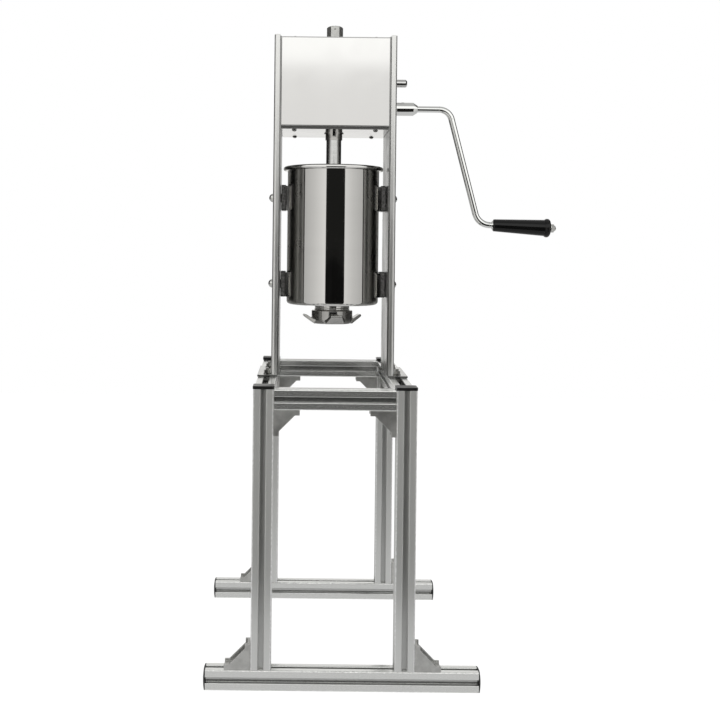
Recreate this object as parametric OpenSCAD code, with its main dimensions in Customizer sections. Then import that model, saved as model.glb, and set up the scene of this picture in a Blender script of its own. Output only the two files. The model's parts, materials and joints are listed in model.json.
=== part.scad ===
// Manual churro maker: a crank and two gear stages drive a toothed piston rod down into a
// steel cylinder that hangs between two tall side frames, on a stand of slotted aluminium
// profile. Sizes are millimetres, +X is the crank side, -Y the front and +Z up.

/* [Stand] */
// Width of the square aluminium profile
profile_w = 30; // [28:1:34]
// Width of the mouth of a profile slot
slot_w = 8; // [7:0.5:9]
// Length of each foot rail
foot_rail_len = 400; // [370:10:460]
// Length of each leg
leg_len = 410; // [300:10:500]
// Depth of the stand over its legs
stand_depth = 460; // [400:10:520]
// How far the front foot rail is slid to the right
front_foot_shift = 14; // [-15:1:15]
// How far the rear foot rail is slid to the right
rear_foot_shift = -4; // [-15:1:15]
// Length of each arm of a corner gusset
gusset_size = 38.5; // [36:0.5:42]
// Width of a corner gusset
gusset_w = 28; // [25:1:28]

/* [Machine frame] */
// Width over the two side frames
machine_w = 197; // [195:1:203]
// Depth of a side frame, front to back
machine_depth = 140; // [134:2:160]
// Height of a side frame
frame_h = 546; // [540:2:600]
// Thickness of a side frame
side_t = 11.5; // [10.5:0.5:12]
// Height of the gear housing
housing_h = 148.5; // [146:0.5:160]
// Thickness of the folded steel sheet
sheet_t = 1.5; // [1.2:0.1:2]
// Height of a hanger block
hanger_h = 42; // [38:1:46]

/* [Cylinder] */
// Outer diameter of the cylinder
cyl_d = 152; // [148:1:153]
// Height of the cylinder from its underside to its lip
cyl_h = 227.6; // [215:1:235]
// Wall of the cylinder
cyl_wall = 1.2; // [1:0.1:1.6]
// Outer diameter of the outlet neck
neck_d = 59; // [54:1:62]
// Outer diameter of the wing nut
nut_d = 68; // [66:1:72]
// Height of the wing nut
nut_h = 22; // [20:0.5:24]
// Radius of the wing tips from the nut's axis
wing_reach = 48; // [44:1:52]
// Outer radius of the star opening in the die
star_r = 11; // [9:0.5:13]

/* [Piston] */
// Diameter of the piston rod
rod_d = 25; // [24:0.5:26]
// Travel of the piston from its lowest place
piston_travel = 233; // [200:1:236]
// Thickness of the piston
piston_h = 25; // [22:1:26]
// Height of the lowest piston above the cylinder floor
piston_rest = 6.5; // [6.5:0.5:8]

/* [Gears] */
// Module of the gears and of the rack
gear_module = 2; // [2:0.05:2.2]
// Number of teeth of the large gear
gear_teeth = 31; // [29:1:34]
// Diameter of both gear shafts
shaft_d = 14; // [13:0.5:14]

/* [Crank] */
// Distance between the crank shaft and the start of the grip, square to the shaft
crank_throw = 192.5; // [150:0.5:210]
// Sideways run of the slanting part of the crank arm
crank_offset = 50.5; // [40:0.5:60]
// Diameter of the crank arm
arm_d = 10.5; // [10:0.5:13]
// Length of the grip
grip_len = 96.5; // [85:0.5:110]
// Diameter of the grip at its flare
grip_d = 31.5; // [29:0.5:34]

/* [Hidden] */
// Number of teeth of both small gears
pinion_teeth = 12;
// Pressure angle of the teeth
pressure_angle = 20;
// Height of a tooth above and below the pitch line, as shares of the module
addendum_share = 0.65;
dedendum_share = 0.85;
// Play between meshing teeth, as a share of the module
backlash_share = 0.08;
flank_steps = 4;
arc_steps = 8;
gusset_ends = [-1, 1];
$fn = 72;

// Overrun that keeps cuts clear of the faces they pass
cut = 1;
// Clearances: still pieces, turning or sliding pieces, and pieces that pass loosely
fit = 0.05;
run = 0.1;
play = 0.3;

// Profile details
profile_r = 2;
lip_t = 2;
lip_chamfer = 0.8;
cavity_w = 16.5;
cavity_flat = 3;
slot_depth = 9;
slot_floor_w = 9;
core_d = 7;
foot_cap_t = 3.4;
foot_cap_crown_r = 90;
cap_plug_len = 8;
leg_cap_t = 4.6;
leg_cap_over = 0.7;
leg_cap_round = 2.6;

// Gusset details
gusset_plate_t = 4.5;
gusset_web_t = 3.5;
gusset_tip = 8;
gusset_land = 7;
gusset_hole_at = 19;

// Screws and slot nuts
m6_d = 6;
m6_head_d = 10;
m6_head_h = 6;
m6_socket = 5;
m6_socket_depth = 3;
slot_nut_w = 15.7;
slot_nut_len = 16;
slot_nut_t = 4.6;
slot_nut_step = 2.4;
slot_nut_toe_w = 9;
washer_d = 12;
washer_t = 1.5;
hex_nut_af = 10;
hex_nut_h = 5;
stud_over = 3;

// Side frames and base plates
base_t = 3;
bolt_gap = 6.5;
base_over = 15.5;
base_leg_h = 34;
base_bolt_y = 50;
bend_r = 5;
frame_lip = 9.2;
panel_inset = 6;

// Housing
cover_drop = 3;
cover_gap = 0.4;
cover_bend_r = 3;
cover_hem = 2.6;
cover_hem_r = 2;
cover_flange = 22;
cover_rise = 4.5;
tray_flange_h = 22;
tray_inset = 3;
tray_edge = 0.4;
cover_screw_x = 65.5;
cover_screw_y = 55;
cover_screw_d = 4;
cover_screw_len = 8;
cover_screw_head_d = 7.6;
cover_screw_head_h = 2.8;
cover_slot_w = 1;
cleat_h = 16;
cleat_w = 28;
cleat_t = 2;
cleat_len = 124;
rod_bush_t = 1.5;
rod_bush_flange = 2;
rod_bush_flange_t = 1.4;
lower_bush_drop = 11.5;
lower_bush_rise = 10;
bush_slot_w = 5;
bush_slot_h = 4;
upper_bush_h = 8;
upper_bush_rise = 2.5;

// Hangers
hanger_top_gap = 52.1;
hanger_pitch = 142;
hanger_half_w = 22;
hanger_edge = 2;
hanger_bolt_d = 8;
hanger_dome_d = 14.5;
hanger_dome_h = 8;
dome_edge_share = 0.16;
hanger_washer_d = 15;
hanger_washer_t = 1.2;
hanger_tap_wall = 1.6;
spacer_d = 14;
saddle_t = 1.5;
saddle_gap = 0.1;
saddle_half_w = 25.5;
saddle_reach = 7;
hook_wall = 2.2;
hook_pocket = 2.5;
hook_pocket_depth = 22;
hook_in = 8.5;
hook_out = 20;
hook_side_play = 0.5;
hook_notch = 3.4;
hook_drop = 5;

// Cylinder, outlet and die
rim_gap = 56;
lip_bead_r = 3.8;
lip_bead_in = 0.6;
lip_lead = 2.1;
cyl_corner_r = 6;
neck_wall = 4.5;
thread_depth = 0.8;
thread_pitch = 3;
thread_shares = [0.35, 0.65, 1];
neck_collar_w = 1.6;
neck_collar_h = 2.4;
nut_gap = 9.6;
nut_lip_t = 3;
nut_lip_w = 3.5;
nut_bevel = 1;
nut_foot_w = 3;
nut_foot_h = 7;
wing_t = 4.6;
wing_w = 32;
wing_tip_w = 18;
wing_rise = 15.6;
wing_turn = 8;
wing_count = 4;
die_t = 4;
die_in = 0.6;
gasket_t = 1.6;
gasket_w = 4;
star_points = 8;
star_in_share = 0.74;

// Piston and rod
rod_over = 26;
rod_chamfer = 1;
stop_nut_af = 23.4;
stop_nut_bevel = 2.2;
stop_pin_d = 2.6;
stop_pin_drop = 6.2;
stop_thread_d = 16;
stop_thread_over = 2.5;
rack_depth = 4.5;
rack_margin = 13;
stud_d = 16;
piston_nut_af = 24;
piston_nut_h = 9;
piston_nut_room = 17;
piston_play = 1.2;
piston_floor_t = 8;
piston_hub_r = 22;
piston_rim_t = 8;
piston_rib_t = 4;
piston_ribs = 6;
piston_bevel = 2;
seal_w = 5;
seal_depth = 3;
seal_lip = 0.8;

// Shafts and gears
crank_rise = 44.5;
shaft_end_in = 4;
shaft_chamfer = 2.4;
stub_out = 24;
stub_step = 0.4;
bush_wall = 3;
bush_flange = 3;
bush_flange_t = 1.5;
clip_t = 1.2;
clip_groove = 0.8;
clip_out = 4;
key_w = 5;
key_depth = 2.5;
key_rise = 2;
rack_pinion_w = 22;
crank_pinion_w = 20;
large_gear_w = 14;
large_gear_x = 48;
gear_hub_r = 13;
gear_web_cut = 3;
gear_rim_t = 5;

// Crank and grip
hub_gap = 1.8;
hub_d = 22.4;
hub_flange = 0.8;
hub_flange_len = 3;
hub_len = 32.6;
hub_cone = 7.6;
hub_wall = 2.8;
hub_bevel = 0.8;
grub_d = 6;
grub_at = 15;
grub_socket = 3;
grub_socket_depth = 2.4;
arm_start = 53.4;
arm_bend_top = 22;
arm_bend_low = 25;
grip_droop = 2.4;
spindle_d = 8;
grip_start = 6.5;
grip_small_d = 20.6;
grip_waist_d = 26.8;
grip_flare_share = 0.92;
grip_waist_share = 0.82;
grip_round = 2;
grip_flare_r = 4.5;
grip_end_d = 23;
collar_d = 14;
collar_t = 2;
end_washer_d = 14;
end_washer_t = 1;
end_nut_af = 12;
end_nut_h = 4.4;
end_dome_d = 10.6;
end_dome_h = 3.8;

// Heights of the stand and of the machine
deck_z = profile_w + leg_len;
frame_z = deck_z + base_t;
frame_top = frame_z + frame_h;
housing_top = frame_top - cover_drop;
housing_z = housing_top - housing_h;
rim_z = housing_z - rim_gap;
cyl_z = rim_z - cyl_h;
floor_z = cyl_z + sheet_t;
nut_top = cyl_z - nut_gap;
nut_z = nut_top - nut_h;
die_z = nut_z + nut_lip_t + run;
gasket_z = die_z + die_t;
neck_z = gasket_z + gasket_t + run;
hanger_zs = [rim_z - hanger_top_gap, rim_z - hanger_top_gap - hanger_pitch];

// Half widths and depths
machine_half = machine_w / 2;
inner_x = machine_half - side_t;
half_depth = machine_depth / 2;
slot_x = machine_half + bolt_gap;
stand_half = slot_x + profile_w / 2;
leg_y = (stand_depth - profile_w) / 2;
top_rail_half = stand_half - profile_w;
cyl_r = cyl_d / 2;
bore_r = cyl_r - cyl_wall;
cover_half = inner_x - cover_gap;

// Gears: the rack's pitch line lies inside the rod's rear side
pinion_pitch_r = gear_module * pinion_teeth / 2;
large_pitch_r = gear_module * gear_teeth / 2;
rack_pitch = PI * gear_module;
rack_y = rod_d / 2 - rack_depth;
shaft_y = rack_y + pinion_pitch_r;
crank_z = housing_z + crank_rise;
drive_z = crank_z + pinion_pitch_r + large_pitch_r;
shaft_r = shaft_d / 2;
stub_r = shaft_r - stub_step;
shaft_left = machine_half - shaft_end_in;
bush_face = inner_x - bush_flange_t;

// Piston and rod heights
piston_z = floor_z + piston_rest;
rod_z = piston_z + piston_h;
rod_top = housing_top - sheet_t + upper_bush_rise + run;
stop_nut_h = frame_top + rod_over - rod_top;

// Crank arm: a level start, a slanting part and a drooping grip
slant = atan2(crank_throw, crank_offset);
droop_sweep = slant - grip_droop;
corner_x = machine_half + hub_gap + hub_len + hub_cone + arm_start;
bend_top_c = [corner_x - arm_bend_top * tan(slant / 2), crank_z - arm_bend_top];
corner_low = [corner_x + crank_offset, crank_z - crank_throw];
low_in = [corner_low[0] - arm_bend_low * tan(droop_sweep / 2) * cos(slant),
          corner_low[1] + arm_bend_low * tan(droop_sweep / 2) * sin(slant)];
bend_low_c = [low_in[0] + arm_bend_low * sin(slant), low_in[1] + arm_bend_low * cos(slant)];
grip_base = [bend_low_c[0] - arm_bend_low * sin(grip_droop),
             bend_low_c[1] - arm_bend_low * cos(grip_droop)];
grip_end = grip_start + grip_len + 2 * play + end_washer_t;
crank_end = grip_end + end_nut_h + end_dome_h;

// Whole object: the middle of its width is the origin
x_right = grip_base[0] + crank_end * cos(grip_droop) + end_dome_d / 4 * sin(grip_droop);
x_left = foot_rail_len / 2 + foot_cap_t - min(front_foot_shift, rear_foot_shift);
x_mid = (x_right - x_left) / 2;

// Helpers

function arc(c, r, from, to, n = arc_steps) =
    [for (i = [0:n]) let (a = from + (to - from) * i / n) [c[0] + r * cos(a), c[1] + r * sin(a)]];

function rounded_box(w, h, r) = concat(
    arc([w / 2 - r, h / 2 - r], r, 0, 90),
    arc([r - w / 2, h / 2 - r], r, 90, 180),
    arc([r - w / 2, r - h / 2], r, 180, 270),
    arc([w / 2 - r, r - h / 2], r, 270, 360));

function involute(a) = tan(a) * 180 / PI - a;

// Half of a tooth's angle at radius r, for a wheel with n teeth
function tooth_half(n, r) =
    let (pitch_r = gear_module * n / 2, base_r = pitch_r * cos(pressure_angle),
         thick = gear_module * (PI / 2 - backlash_share))
    thick / (2 * pitch_r) * 180 / PI + involute(pressure_angle)
        - involute(acos(min(1, base_r / r)));

function wheel_points(n) =
    let (pitch_r = gear_module * n / 2, base_r = pitch_r * cos(pressure_angle),
         tip_r = pitch_r + addendum_share * gear_module,
         root_r = pitch_r - dedendum_share * gear_module,
         low_r = max(root_r, base_r),
         flank = [for (j = [0:flank_steps]) low_r + (tip_r - low_r) * j / flank_steps],
         radii = root_r < base_r ? concat([root_r], flank) : flank)
    [for (i = [0:n - 1], side = gusset_ends, j = [0:len(radii) - 1])
        let (r = radii[side < 0 ? j : len(radii) - 1 - j],
             a = 360 * i / n + side * tooth_half(n, max(r, low_r)))
        [r * cos(a), r * sin(a)]];

module at_machine() { translate([-x_mid, 0, 0]) children(); }

module both_sides() {
    children();
    mirror([1, 0, 0]) children();
}

module along_x(at) { translate(at) rotate([0, 90, 0]) children(); }

module tube(r_out, r_in, h) {
    difference() {
        cylinder(r = r_out, h = h);
        translate([0, 0, -cut]) cylinder(r = r_in, h = h + 2 * cut);
    }
}

module hex(af, h) { cylinder(d = af / cos(30), h = h, $fn = 6); }

// Slotted profile

module profile_2d() {
    half = profile_w / 2;
    difference() {
        polygon(rounded_box(profile_w, profile_w, profile_r));
        for (a = [0:90:270]) rotate(a) polygon([
            [-slot_w / 2 - lip_chamfer, half], [-slot_w / 2 - lip_chamfer, half + cut],
            [slot_w / 2 + lip_chamfer, half + cut], [slot_w / 2 + lip_chamfer, half],
            [slot_w / 2, half - lip_chamfer], [slot_w / 2, half - lip_t],
            [cavity_w / 2, half - lip_t], [cavity_w / 2, half - lip_t - cavity_flat],
            [slot_floor_w / 2, half - slot_depth], [-slot_floor_w / 2, half - slot_depth],
            [-cavity_w / 2, half - lip_t - cavity_flat], [-cavity_w / 2, half - lip_t],
            [-slot_w / 2, half - lip_t], [-slot_w / 2, half - lip_chamfer]]);
        circle(d = core_d);
    }
}

module profile(length) {
    color("silver") linear_extrude(length, center = true) profile_2d();
}

module foot_rail(side, shift) {
    at_machine() along_x([shift, side * leg_y, profile_w / 2]) profile(foot_rail_len);
}

module leg(x_side, y_side) {
    at_machine() translate([x_side * slot_x, y_side * leg_y, profile_w + leg_len / 2])
        profile(leg_len);
}

module cross_rail(side) {
    at_machine() along_x([0, side * leg_y, deck_z - profile_w / 2]) profile(2 * top_rail_half);
}

module side_rail(side) {
    at_machine() translate([side * slot_x, 0, deck_z - profile_w / 2])
        rotate([90, 0, 0]) profile(stand_depth - 2 * profile_w);
}

module cap_plug() {
    translate([0, 0, -cap_plug_len]) cylinder(d = core_d - 2 * fit, h = cap_plug_len + fit);
}

// A crowned end cap: a square plate cut by a shallow dome
module foot_cap() {
    r = foot_cap_crown_r;
    reach = asin(profile_w * sqrt(2) / 2 / r);
    color("#1c1c1c") {
        intersection() {
            linear_extrude(foot_cap_t) polygon(rounded_box(profile_w, profile_w, profile_r));
            rotate_extrude() polygon(concat([[0, 0], [profile_w * sqrt(2) / 2, 0]],
                arc([0, foot_cap_t - r], r, 90 - reach, 90)));
        }
        cap_plug();
    }
}

module foot_rail_caps() {
    half = foot_rail_len / 2;
    at_machine() for (foot = [[-1, front_foot_shift], [1, rear_foot_shift]]) {
        translate([foot[1] + half, foot[0] * leg_y, profile_w / 2]) rotate([0, 90, 0]) foot_cap();
        translate([foot[1] - half, foot[0] * leg_y, profile_w / 2]) rotate([0, -90, 0]) foot_cap();
    }
}

// A pillow-like cap: its outline from above cut by the same rounded section both ways
module leg_cap() {
    wide = profile_w + 2 * leg_cap_over;
    r = leg_cap_round;
    section = concat([[-wide / 2, 0], [wide / 2, 0]], arc([wide / 2 - r, leg_cap_t - r], r, 0, 90),
        arc([r - wide / 2, leg_cap_t - r], r, 90, 180));
    color("#1c1c1c") {
        intersection() {
            linear_extrude(leg_cap_t) polygon(rounded_box(wide, wide, profile_r + leg_cap_over));
            for (turn = [0, 90]) rotate([90, 0, turn])
                linear_extrude(2 * wide, center = true) polygon(section);
        }
        cap_plug();
    }
}

module leg_caps() {
    at_machine() for (x = gusset_ends, y = gusset_ends)
        translate([x * slot_x, y * leg_y, deck_z]) leg_cap();
}

// Gussets: each place puts a corner at the origin, one arm along +x and one along +z

module foot_places() {
    for (y = gusset_ends) both_sides()
        translate([stand_half, y * leg_y, profile_w]) children();
}

module top_places() {
    for (y = gusset_ends) both_sides()
        translate([-top_rail_half, y * leg_y, deck_z - profile_w]) mirror([0, 0, 1]) children();
}

module side_places() {
    for (x = gusset_ends, turn = [90, -90])
        translate([x * slot_x, -sign(turn) * (stand_depth / 2 - profile_w), deck_z - profile_w])
            rotate([0, 0, turn]) mirror([0, 0, 1]) children();
}

// The two arms of a gusset, seen from the screw that holds each
module gusset_arms() {
    translate([gusset_hole_at, 0, 0]) children();
    rotate([0, -90, 0]) mirror([0, 0, 1]) translate([gusset_hole_at, 0, 0]) children();
}

module gusset() {
    color("#a9aaab") difference() {
        rotate([90, 0, 0]) linear_extrude(gusset_w, center = true) polygon([
            [0, 0], [gusset_size, 0], [gusset_size, gusset_tip],
            [gusset_size - gusset_land, gusset_tip], [gusset_tip, gusset_size - gusset_land],
            [gusset_tip, gusset_size], [0, gusset_size]]);
        translate([gusset_plate_t, gusset_web_t - gusset_w / 2, gusset_plate_t])
            cube([gusset_size, gusset_w - 2 * gusset_web_t, gusset_size]);
        gusset_arms() translate([0, 0, -cut])
            cylinder(d = m6_d + 2 * fit, h = gusset_plate_t + 2 * cut);
    }
}

module foot_gussets() { at_machine() foot_places() gusset(); }

module top_gussets() {
    at_machine() {
        top_places() gusset();
        side_places() gusset();
    }
}

module cap_screw(grip) {
    color("#8d8f91") difference() {
        union() {
            translate([0, 0, grip]) cylinder(d = m6_head_d, h = m6_head_h);
            translate([0, 0, -lip_t - slot_nut_t])
                cylinder(d = m6_d, h = grip + lip_t + slot_nut_t + fit);
        }
        translate([0, 0, grip + m6_head_h - m6_socket_depth]) hex(m6_socket, m6_head_h);
    }
}

module gusset_screws() {
    at_machine() {
        foot_places() gusset_arms() cap_screw(gusset_plate_t);
        top_places() gusset_arms() cap_screw(gusset_plate_t);
        side_places() gusset_arms() cap_screw(gusset_plate_t);
    }
}

// A nut that sits under the lips of a slot, its length along x
module slot_nut() {
    color("#7d7f81") translate([0, 0, -lip_t]) difference() {
        rotate([90, 0, 90]) linear_extrude(slot_nut_len, center = true) polygon([
            [-slot_nut_w / 2, 0], [-slot_nut_w / 2, -slot_nut_step],
            [-slot_nut_toe_w / 2, -slot_nut_t], [slot_nut_toe_w / 2, -slot_nut_t],
            [slot_nut_w / 2, -slot_nut_step], [slot_nut_w / 2, 0]]);
        translate([0, 0, -slot_nut_t - cut])
            cylinder(d = m6_d + 2 * fit, h = slot_nut_t + 2 * cut);
    }
}

module base_bolt_places() {
    for (y = gusset_ends) both_sides()
        translate([slot_x, y * base_bolt_y, deck_z]) children();
}

module slot_nuts() {
    at_machine() {
        foot_places() gusset_arms() slot_nut();
        top_places() gusset_arms() slot_nut();
        side_places() gusset_arms() slot_nut();
        base_bolt_places() rotate([0, 0, 90]) slot_nut();
    }
}

// Base plates: a flat foot under each side frame and an upright leg inside it

module base_plates() {
    color("silver") at_machine() both_sides() difference() {
        union() {
            translate([inner_x + sheet_t, -half_depth, deck_z])
                cube([slot_x + base_over - inner_x - sheet_t, machine_depth, base_t]);
            translate([inner_x + sheet_t, panel_inset + 2 * sheet_t - half_depth, deck_z])
                cube([base_t, machine_depth - 2 * panel_inset - 4 * sheet_t, base_t + base_leg_h]);
        }
        for (y = gusset_ends) translate([slot_x, y * base_bolt_y, deck_z - cut])
            cylinder(d = m6_d + 2 * fit, h = base_t + 2 * cut);
    }
}

module base_studs() {
    color("#8d8f91") at_machine() base_bolt_places()
        translate([0, 0, -lip_t - slot_nut_t]) cylinder(d = m6_d,
            h = lip_t + slot_nut_t + base_t + washer_t + hex_nut_h + stud_over);
}

module base_nuts() {
    color("#8d8f91") at_machine() base_bolt_places() {
        translate([0, 0, base_t]) tube(washer_d / 2, m6_d / 2 + fit, washer_t);
        translate([0, 0, base_t + washer_t]) difference() {
            hex(hex_nut_af, hex_nut_h);
            translate([0, 0, -cut]) cylinder(d = m6_d + 2 * fit, h = hex_nut_h + 2 * cut);
        }
    }
}

// Side frames: an outer folded shell and an inner panel tucked into it

// Right-hand shell in plan: a channel that opens inwards, with rounded outer bends
function shell_points() =
    let (x = machine_half, y = half_depth, r = bend_r, t = sheet_t, lip = x - frame_lip)
    concat([[lip, -y]], arc([x - r, r - y], r, -90, 0), arc([x - r, y - r], r, 0, 90),
        [[lip, y], [lip, y - t]], arc([x - r, y - r], r - t, 90, 0),
        arc([x - r, r - y], r - t, 0, -90), [[lip, t - y]]);

// Holes that the hanger bolts pass through
module hanger_holes() {
    for (z = hanger_zs) along_x([0, 0, z])
        cylinder(d = hanger_bolt_d + 2 * fit, h = machine_w);
}

module shaft_holes() {
    for (z = [crank_z, drive_z]) along_x([0, shaft_y, z])
        cylinder(r = shaft_r + run + bush_wall, h = machine_w);
}

module side_frame() {
    color("#d5d6d6") difference() {
        union() {
            translate([0, 0, frame_z]) linear_extrude(frame_h) polygon(shell_points());
            translate([machine_half - frame_lip, sheet_t / 2 - half_depth, frame_top - sheet_t])
                cube([frame_lip - sheet_t / 2, machine_depth - sheet_t, sheet_t]);
        }
        hanger_holes();
        children();
    }
}

module right_side_frame() { at_machine() side_frame() shaft_holes(); }
module left_side_frame() { at_machine() mirror([1, 0, 0]) side_frame(); }

module inner_panel() {
    t = sheet_t;
    x = inner_x;
    y = half_depth - panel_inset;
    out = machine_half - sheet_t;
    color("#d9dada") difference() {
        translate([0, 0, frame_z]) linear_extrude(frame_h - sheet_t) polygon([
            [x, -y], [out, -y], [out, t - y], [x + t, t - y], [x + t, y - t],
            [out, y - t], [out, y], [x, y]]);
        hanger_holes();
        shaft_holes();
    }
}

module right_inner_panel() { at_machine() inner_panel(); }
module left_inner_panel() { at_machine() mirror([1, 0, 0]) inner_panel(); }

// Housing

// Front cover in section, y then z: a face, a bent top flange and a hem at its foot
function cover_points() =
    let (y = half_depth, r = cover_bend_r, h = cover_hem_r, t = sheet_t,
         low = housing_z + cover_rise, top = housing_top)
    concat([[cover_hem - y, low]], arc([h - y, low + h], h, 270, 180),
        arc([r - y, top - r], r, 180, 90),
        [[cover_flange - y, top], [cover_flange - y, top - t]],
        arc([r - y, top - r], r - t, 90, 180), arc([h - y, low + h], h - t, 180, 270),
        [[cover_hem - y, low + t]]);

module front_cover() {
    color("#eeeeee") at_machine() difference() {
        rotate([90, 0, 90]) linear_extrude(2 * cover_half, center = true) polygon(cover_points());
        top_screw_places() cylinder(d = cover_screw_d + 2 * fit, h = cover_screw_len);
    }
}

module rear_cover() { mirror([0, 1, 0]) front_cover(); }

module top_screw_places() {
    for (x = gusset_ends, y = gusset_ends)
        translate([x * cover_screw_x, y * cover_screw_y, housing_top - cover_screw_len / 2])
            children();
}

module top_plate() {
    inset = 2 * sheet_t;
    color("#e6e6e6") at_machine() difference() {
        translate([-cover_half, inset - half_depth, housing_top - 2 * sheet_t])
            cube([2 * cover_half, machine_depth - 2 * inset, sheet_t]);
        translate([0, 0, housing_top - housing_h / 2])
            cylinder(r = rod_d / 2 + run + rod_bush_t, h = housing_h);
        top_screw_places() cylinder(d = cover_screw_d + 2 * fit, h = cover_screw_len);
    }
}

// Bottom tray in section, y then z: a floor with two upright flanges set back from its edges
function tray_points() =
    let (y = half_depth - tray_edge, f = half_depth - tray_inset, t = sheet_t, z = housing_z,
         top = housing_z + tray_flange_h)
    [[-y, z], [y, z], [y, z + t], [f, z + t], [f, top], [f - t, top], [f - t, z + t],
     [t - f, z + t], [t - f, top], [-f, top], [-f, z + t], [-y, z + t]];

module bottom_tray() {
    color("#d9dada") at_machine() difference() {
        rotate([90, 0, 90]) linear_extrude(2 * cover_half, center = true) polygon(tray_points());
        translate([0, 0, housing_z - cut])
            cylinder(r = rod_d / 2 + run + rod_bush_t, h = sheet_t + 2 * cut);
        for (x = gusset_ends, y = gusset_ends)
            translate([x * cover_screw_x, y * cover_screw_y, housing_z - cut])
                cylinder(d = cover_screw_d + 2 * fit, h = sheet_t + 2 * cut);
    }
}

// Angle cleats that carry the tray and the top plate on the inner panels
module housing_cleats() {
    low = housing_z + sheet_t;
    high = housing_top - 2 * sheet_t;
    color("#b9babb") at_machine() both_sides() for (end = [[low, 1], [high, -1]])
        translate([inner_x, 0, end[0]]) mirror([0, 0, end[1] < 0 ? 1 : 0]) difference() {
            rotate([90, 0, 0]) linear_extrude(cleat_len, center = true) polygon([
                [0, 0], [0, cleat_h], [-cleat_t, cleat_h], [-cleat_t, cleat_t],
                [-cleat_w, cleat_t], [-cleat_w, 0]]);
            for (y = gusset_ends)
                translate([cover_screw_x - inner_x, y * cover_screw_y, -cut])
                    cylinder(d = cover_screw_d + 2 * fit, h = cleat_t + 2 * cut);
        }
}

module cover_screw() {
    difference() {
        union() {
            cylinder(d = cover_screw_d, h = cover_screw_len);
            intersection() {
                translate([0, 0, -cover_screw_head_h])
                    cylinder(d = cover_screw_head_d, h = cover_screw_head_h);
                translate([0, 0, cover_screw_head_d - cover_screw_head_h])
                    sphere(r = cover_screw_head_d);
            }
        }
        translate([-cover_screw_head_d, -cover_slot_w / 2, -cover_screw_head_h - cut])
            cube([2 * cover_screw_head_d, cover_slot_w, cut + cover_slot_w]);
    }
}

module cover_screws() {
    color("#b9babb") at_machine() for (x = gusset_ends, y = gusset_ends)
        translate([x * cover_screw_x, y * cover_screw_y, 0]) {
            translate([0, 0, housing_z]) cover_screw();
            translate([0, 0, housing_top]) mirror([0, 0, 1]) cover_screw();
        }
}

// Guide bushes of the piston rod

module lower_rod_bush() {
    r_in = rod_d / 2 + run;
    r_out = r_in + rod_bush_t - fit;
    color("#9a9894") at_machine() difference() {
        union() {
            translate([0, 0, housing_z - lower_bush_drop])
                tube(r_out, r_in, lower_bush_drop + lower_bush_rise);
            translate([0, 0, housing_z - rod_bush_flange_t])
                tube(r_out + rod_bush_flange, r_in, rod_bush_flange_t);
        }
        translate([-bush_slot_w / 2, -r_out - rod_bush_flange - cut, housing_z - rod_bush_flange_t
            - bush_slot_h])
            cube([bush_slot_w, r_out + rod_bush_flange + cut, rod_bush_flange_t + bush_slot_h]);
    }
}

module upper_rod_bush() {
    r_in = rod_d / 2 + run;
    r_out = r_in + rod_bush_t - fit;
    plate_z = housing_top - sheet_t;
    color("#9a9894") at_machine() {
        translate([0, 0, plate_z - upper_bush_h])
            tube(r_out, r_in, upper_bush_h + upper_bush_rise);
        translate([0, 0, plate_z]) tube(r_out + rod_bush_flange, r_in, rod_bush_flange_t);
    }
}

// Shaft bushes: flanged inside the housing, through both sheets on the crank side

module shaft_bush(length) {
    r_in = shaft_r + run;
    r_out = r_in + bush_wall - fit;
    color("#b08d57") {
        tube(r_out + bush_flange, r_in, bush_flange_t);
        tube(r_out, r_in, bush_flange_t + length);
    }
}

module shaft_bushes(z) {
    at_machine() {
        along_x([bush_face, shaft_y, z]) shaft_bush(side_t);
        mirror([1, 0, 0]) along_x([bush_face, shaft_y, z])
            shaft_bush(side_t - shaft_end_in);
    }
}

module crank_shaft_bushes() { shaft_bushes(crank_z); }
module drive_shaft_bushes() { shaft_bushes(drive_z); }

// Hangers of the cylinder

block_x = cyl_r + saddle_gap + saddle_t + play;
block_end = inner_x - hanger_washer_t;
pocket_x = block_x + hook_wall;
tongue_x = pocket_x + hook_side_play;

module hanger_places() {
    for (z = hanger_zs) both_sides() translate([0, 0, z]) children();
}

module hanger_block() {
    thick = block_end - block_x;
    top = hanger_h / 2;
    color("#232325") difference() {
        translate([block_x + thick / 2, 0, 0]) rotate([0, 90, 0])
            linear_extrude(thick, center = true)
                polygon(rounded_box(hanger_h, 2 * hanger_half_w, hanger_edge));
        along_x([block_x + hanger_tap_wall, 0, 0])
            cylinder(d = hanger_bolt_d + 2 * fit, h = thick);
        for (y = [hook_in, -hook_out]) translate([0, y - hook_side_play, 0]) {
            translate([pocket_x, 0, top - hook_pocket_depth])
                cube([hook_pocket, hook_out - hook_in + 2 * hook_side_play, hanger_h]);
            translate([block_x - cut, 0, top - hook_notch])
                cube([hook_wall + 2 * cut, hook_out - hook_in + 2 * hook_side_play, hanger_h]);
        }
    }
}

module hanger_blocks() { at_machine() hanger_places() hanger_block(); }

module hanger_washers() {
    color("#232325") at_machine() hanger_places() along_x([block_end, 0, 0])
        tube(hanger_washer_d / 2, hanger_bolt_d / 2 + fit, hanger_washer_t);
}

module hanger_spacers() {
    color("silver") at_machine() hanger_places() along_x([inner_x + sheet_t, 0, 0])
        tube(spacer_d / 2, hanger_bolt_d / 2 + fit, side_t - 2 * sheet_t);
}

// Half section of a domed head, r then along, on a shank that starts at a given place
function domed_points(d, h, shank_d, tip) =
    let (edge = h * dome_edge_share, rise = h - edge, r = (d * d / 4 + rise * rise) / (2 * rise))
    concat([[0, tip], [shank_d / 2, tip], [shank_d / 2, 0], [d / 2, 0]],
        arc([0, h - r], r, asin((r - rise) / r), 90));

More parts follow.
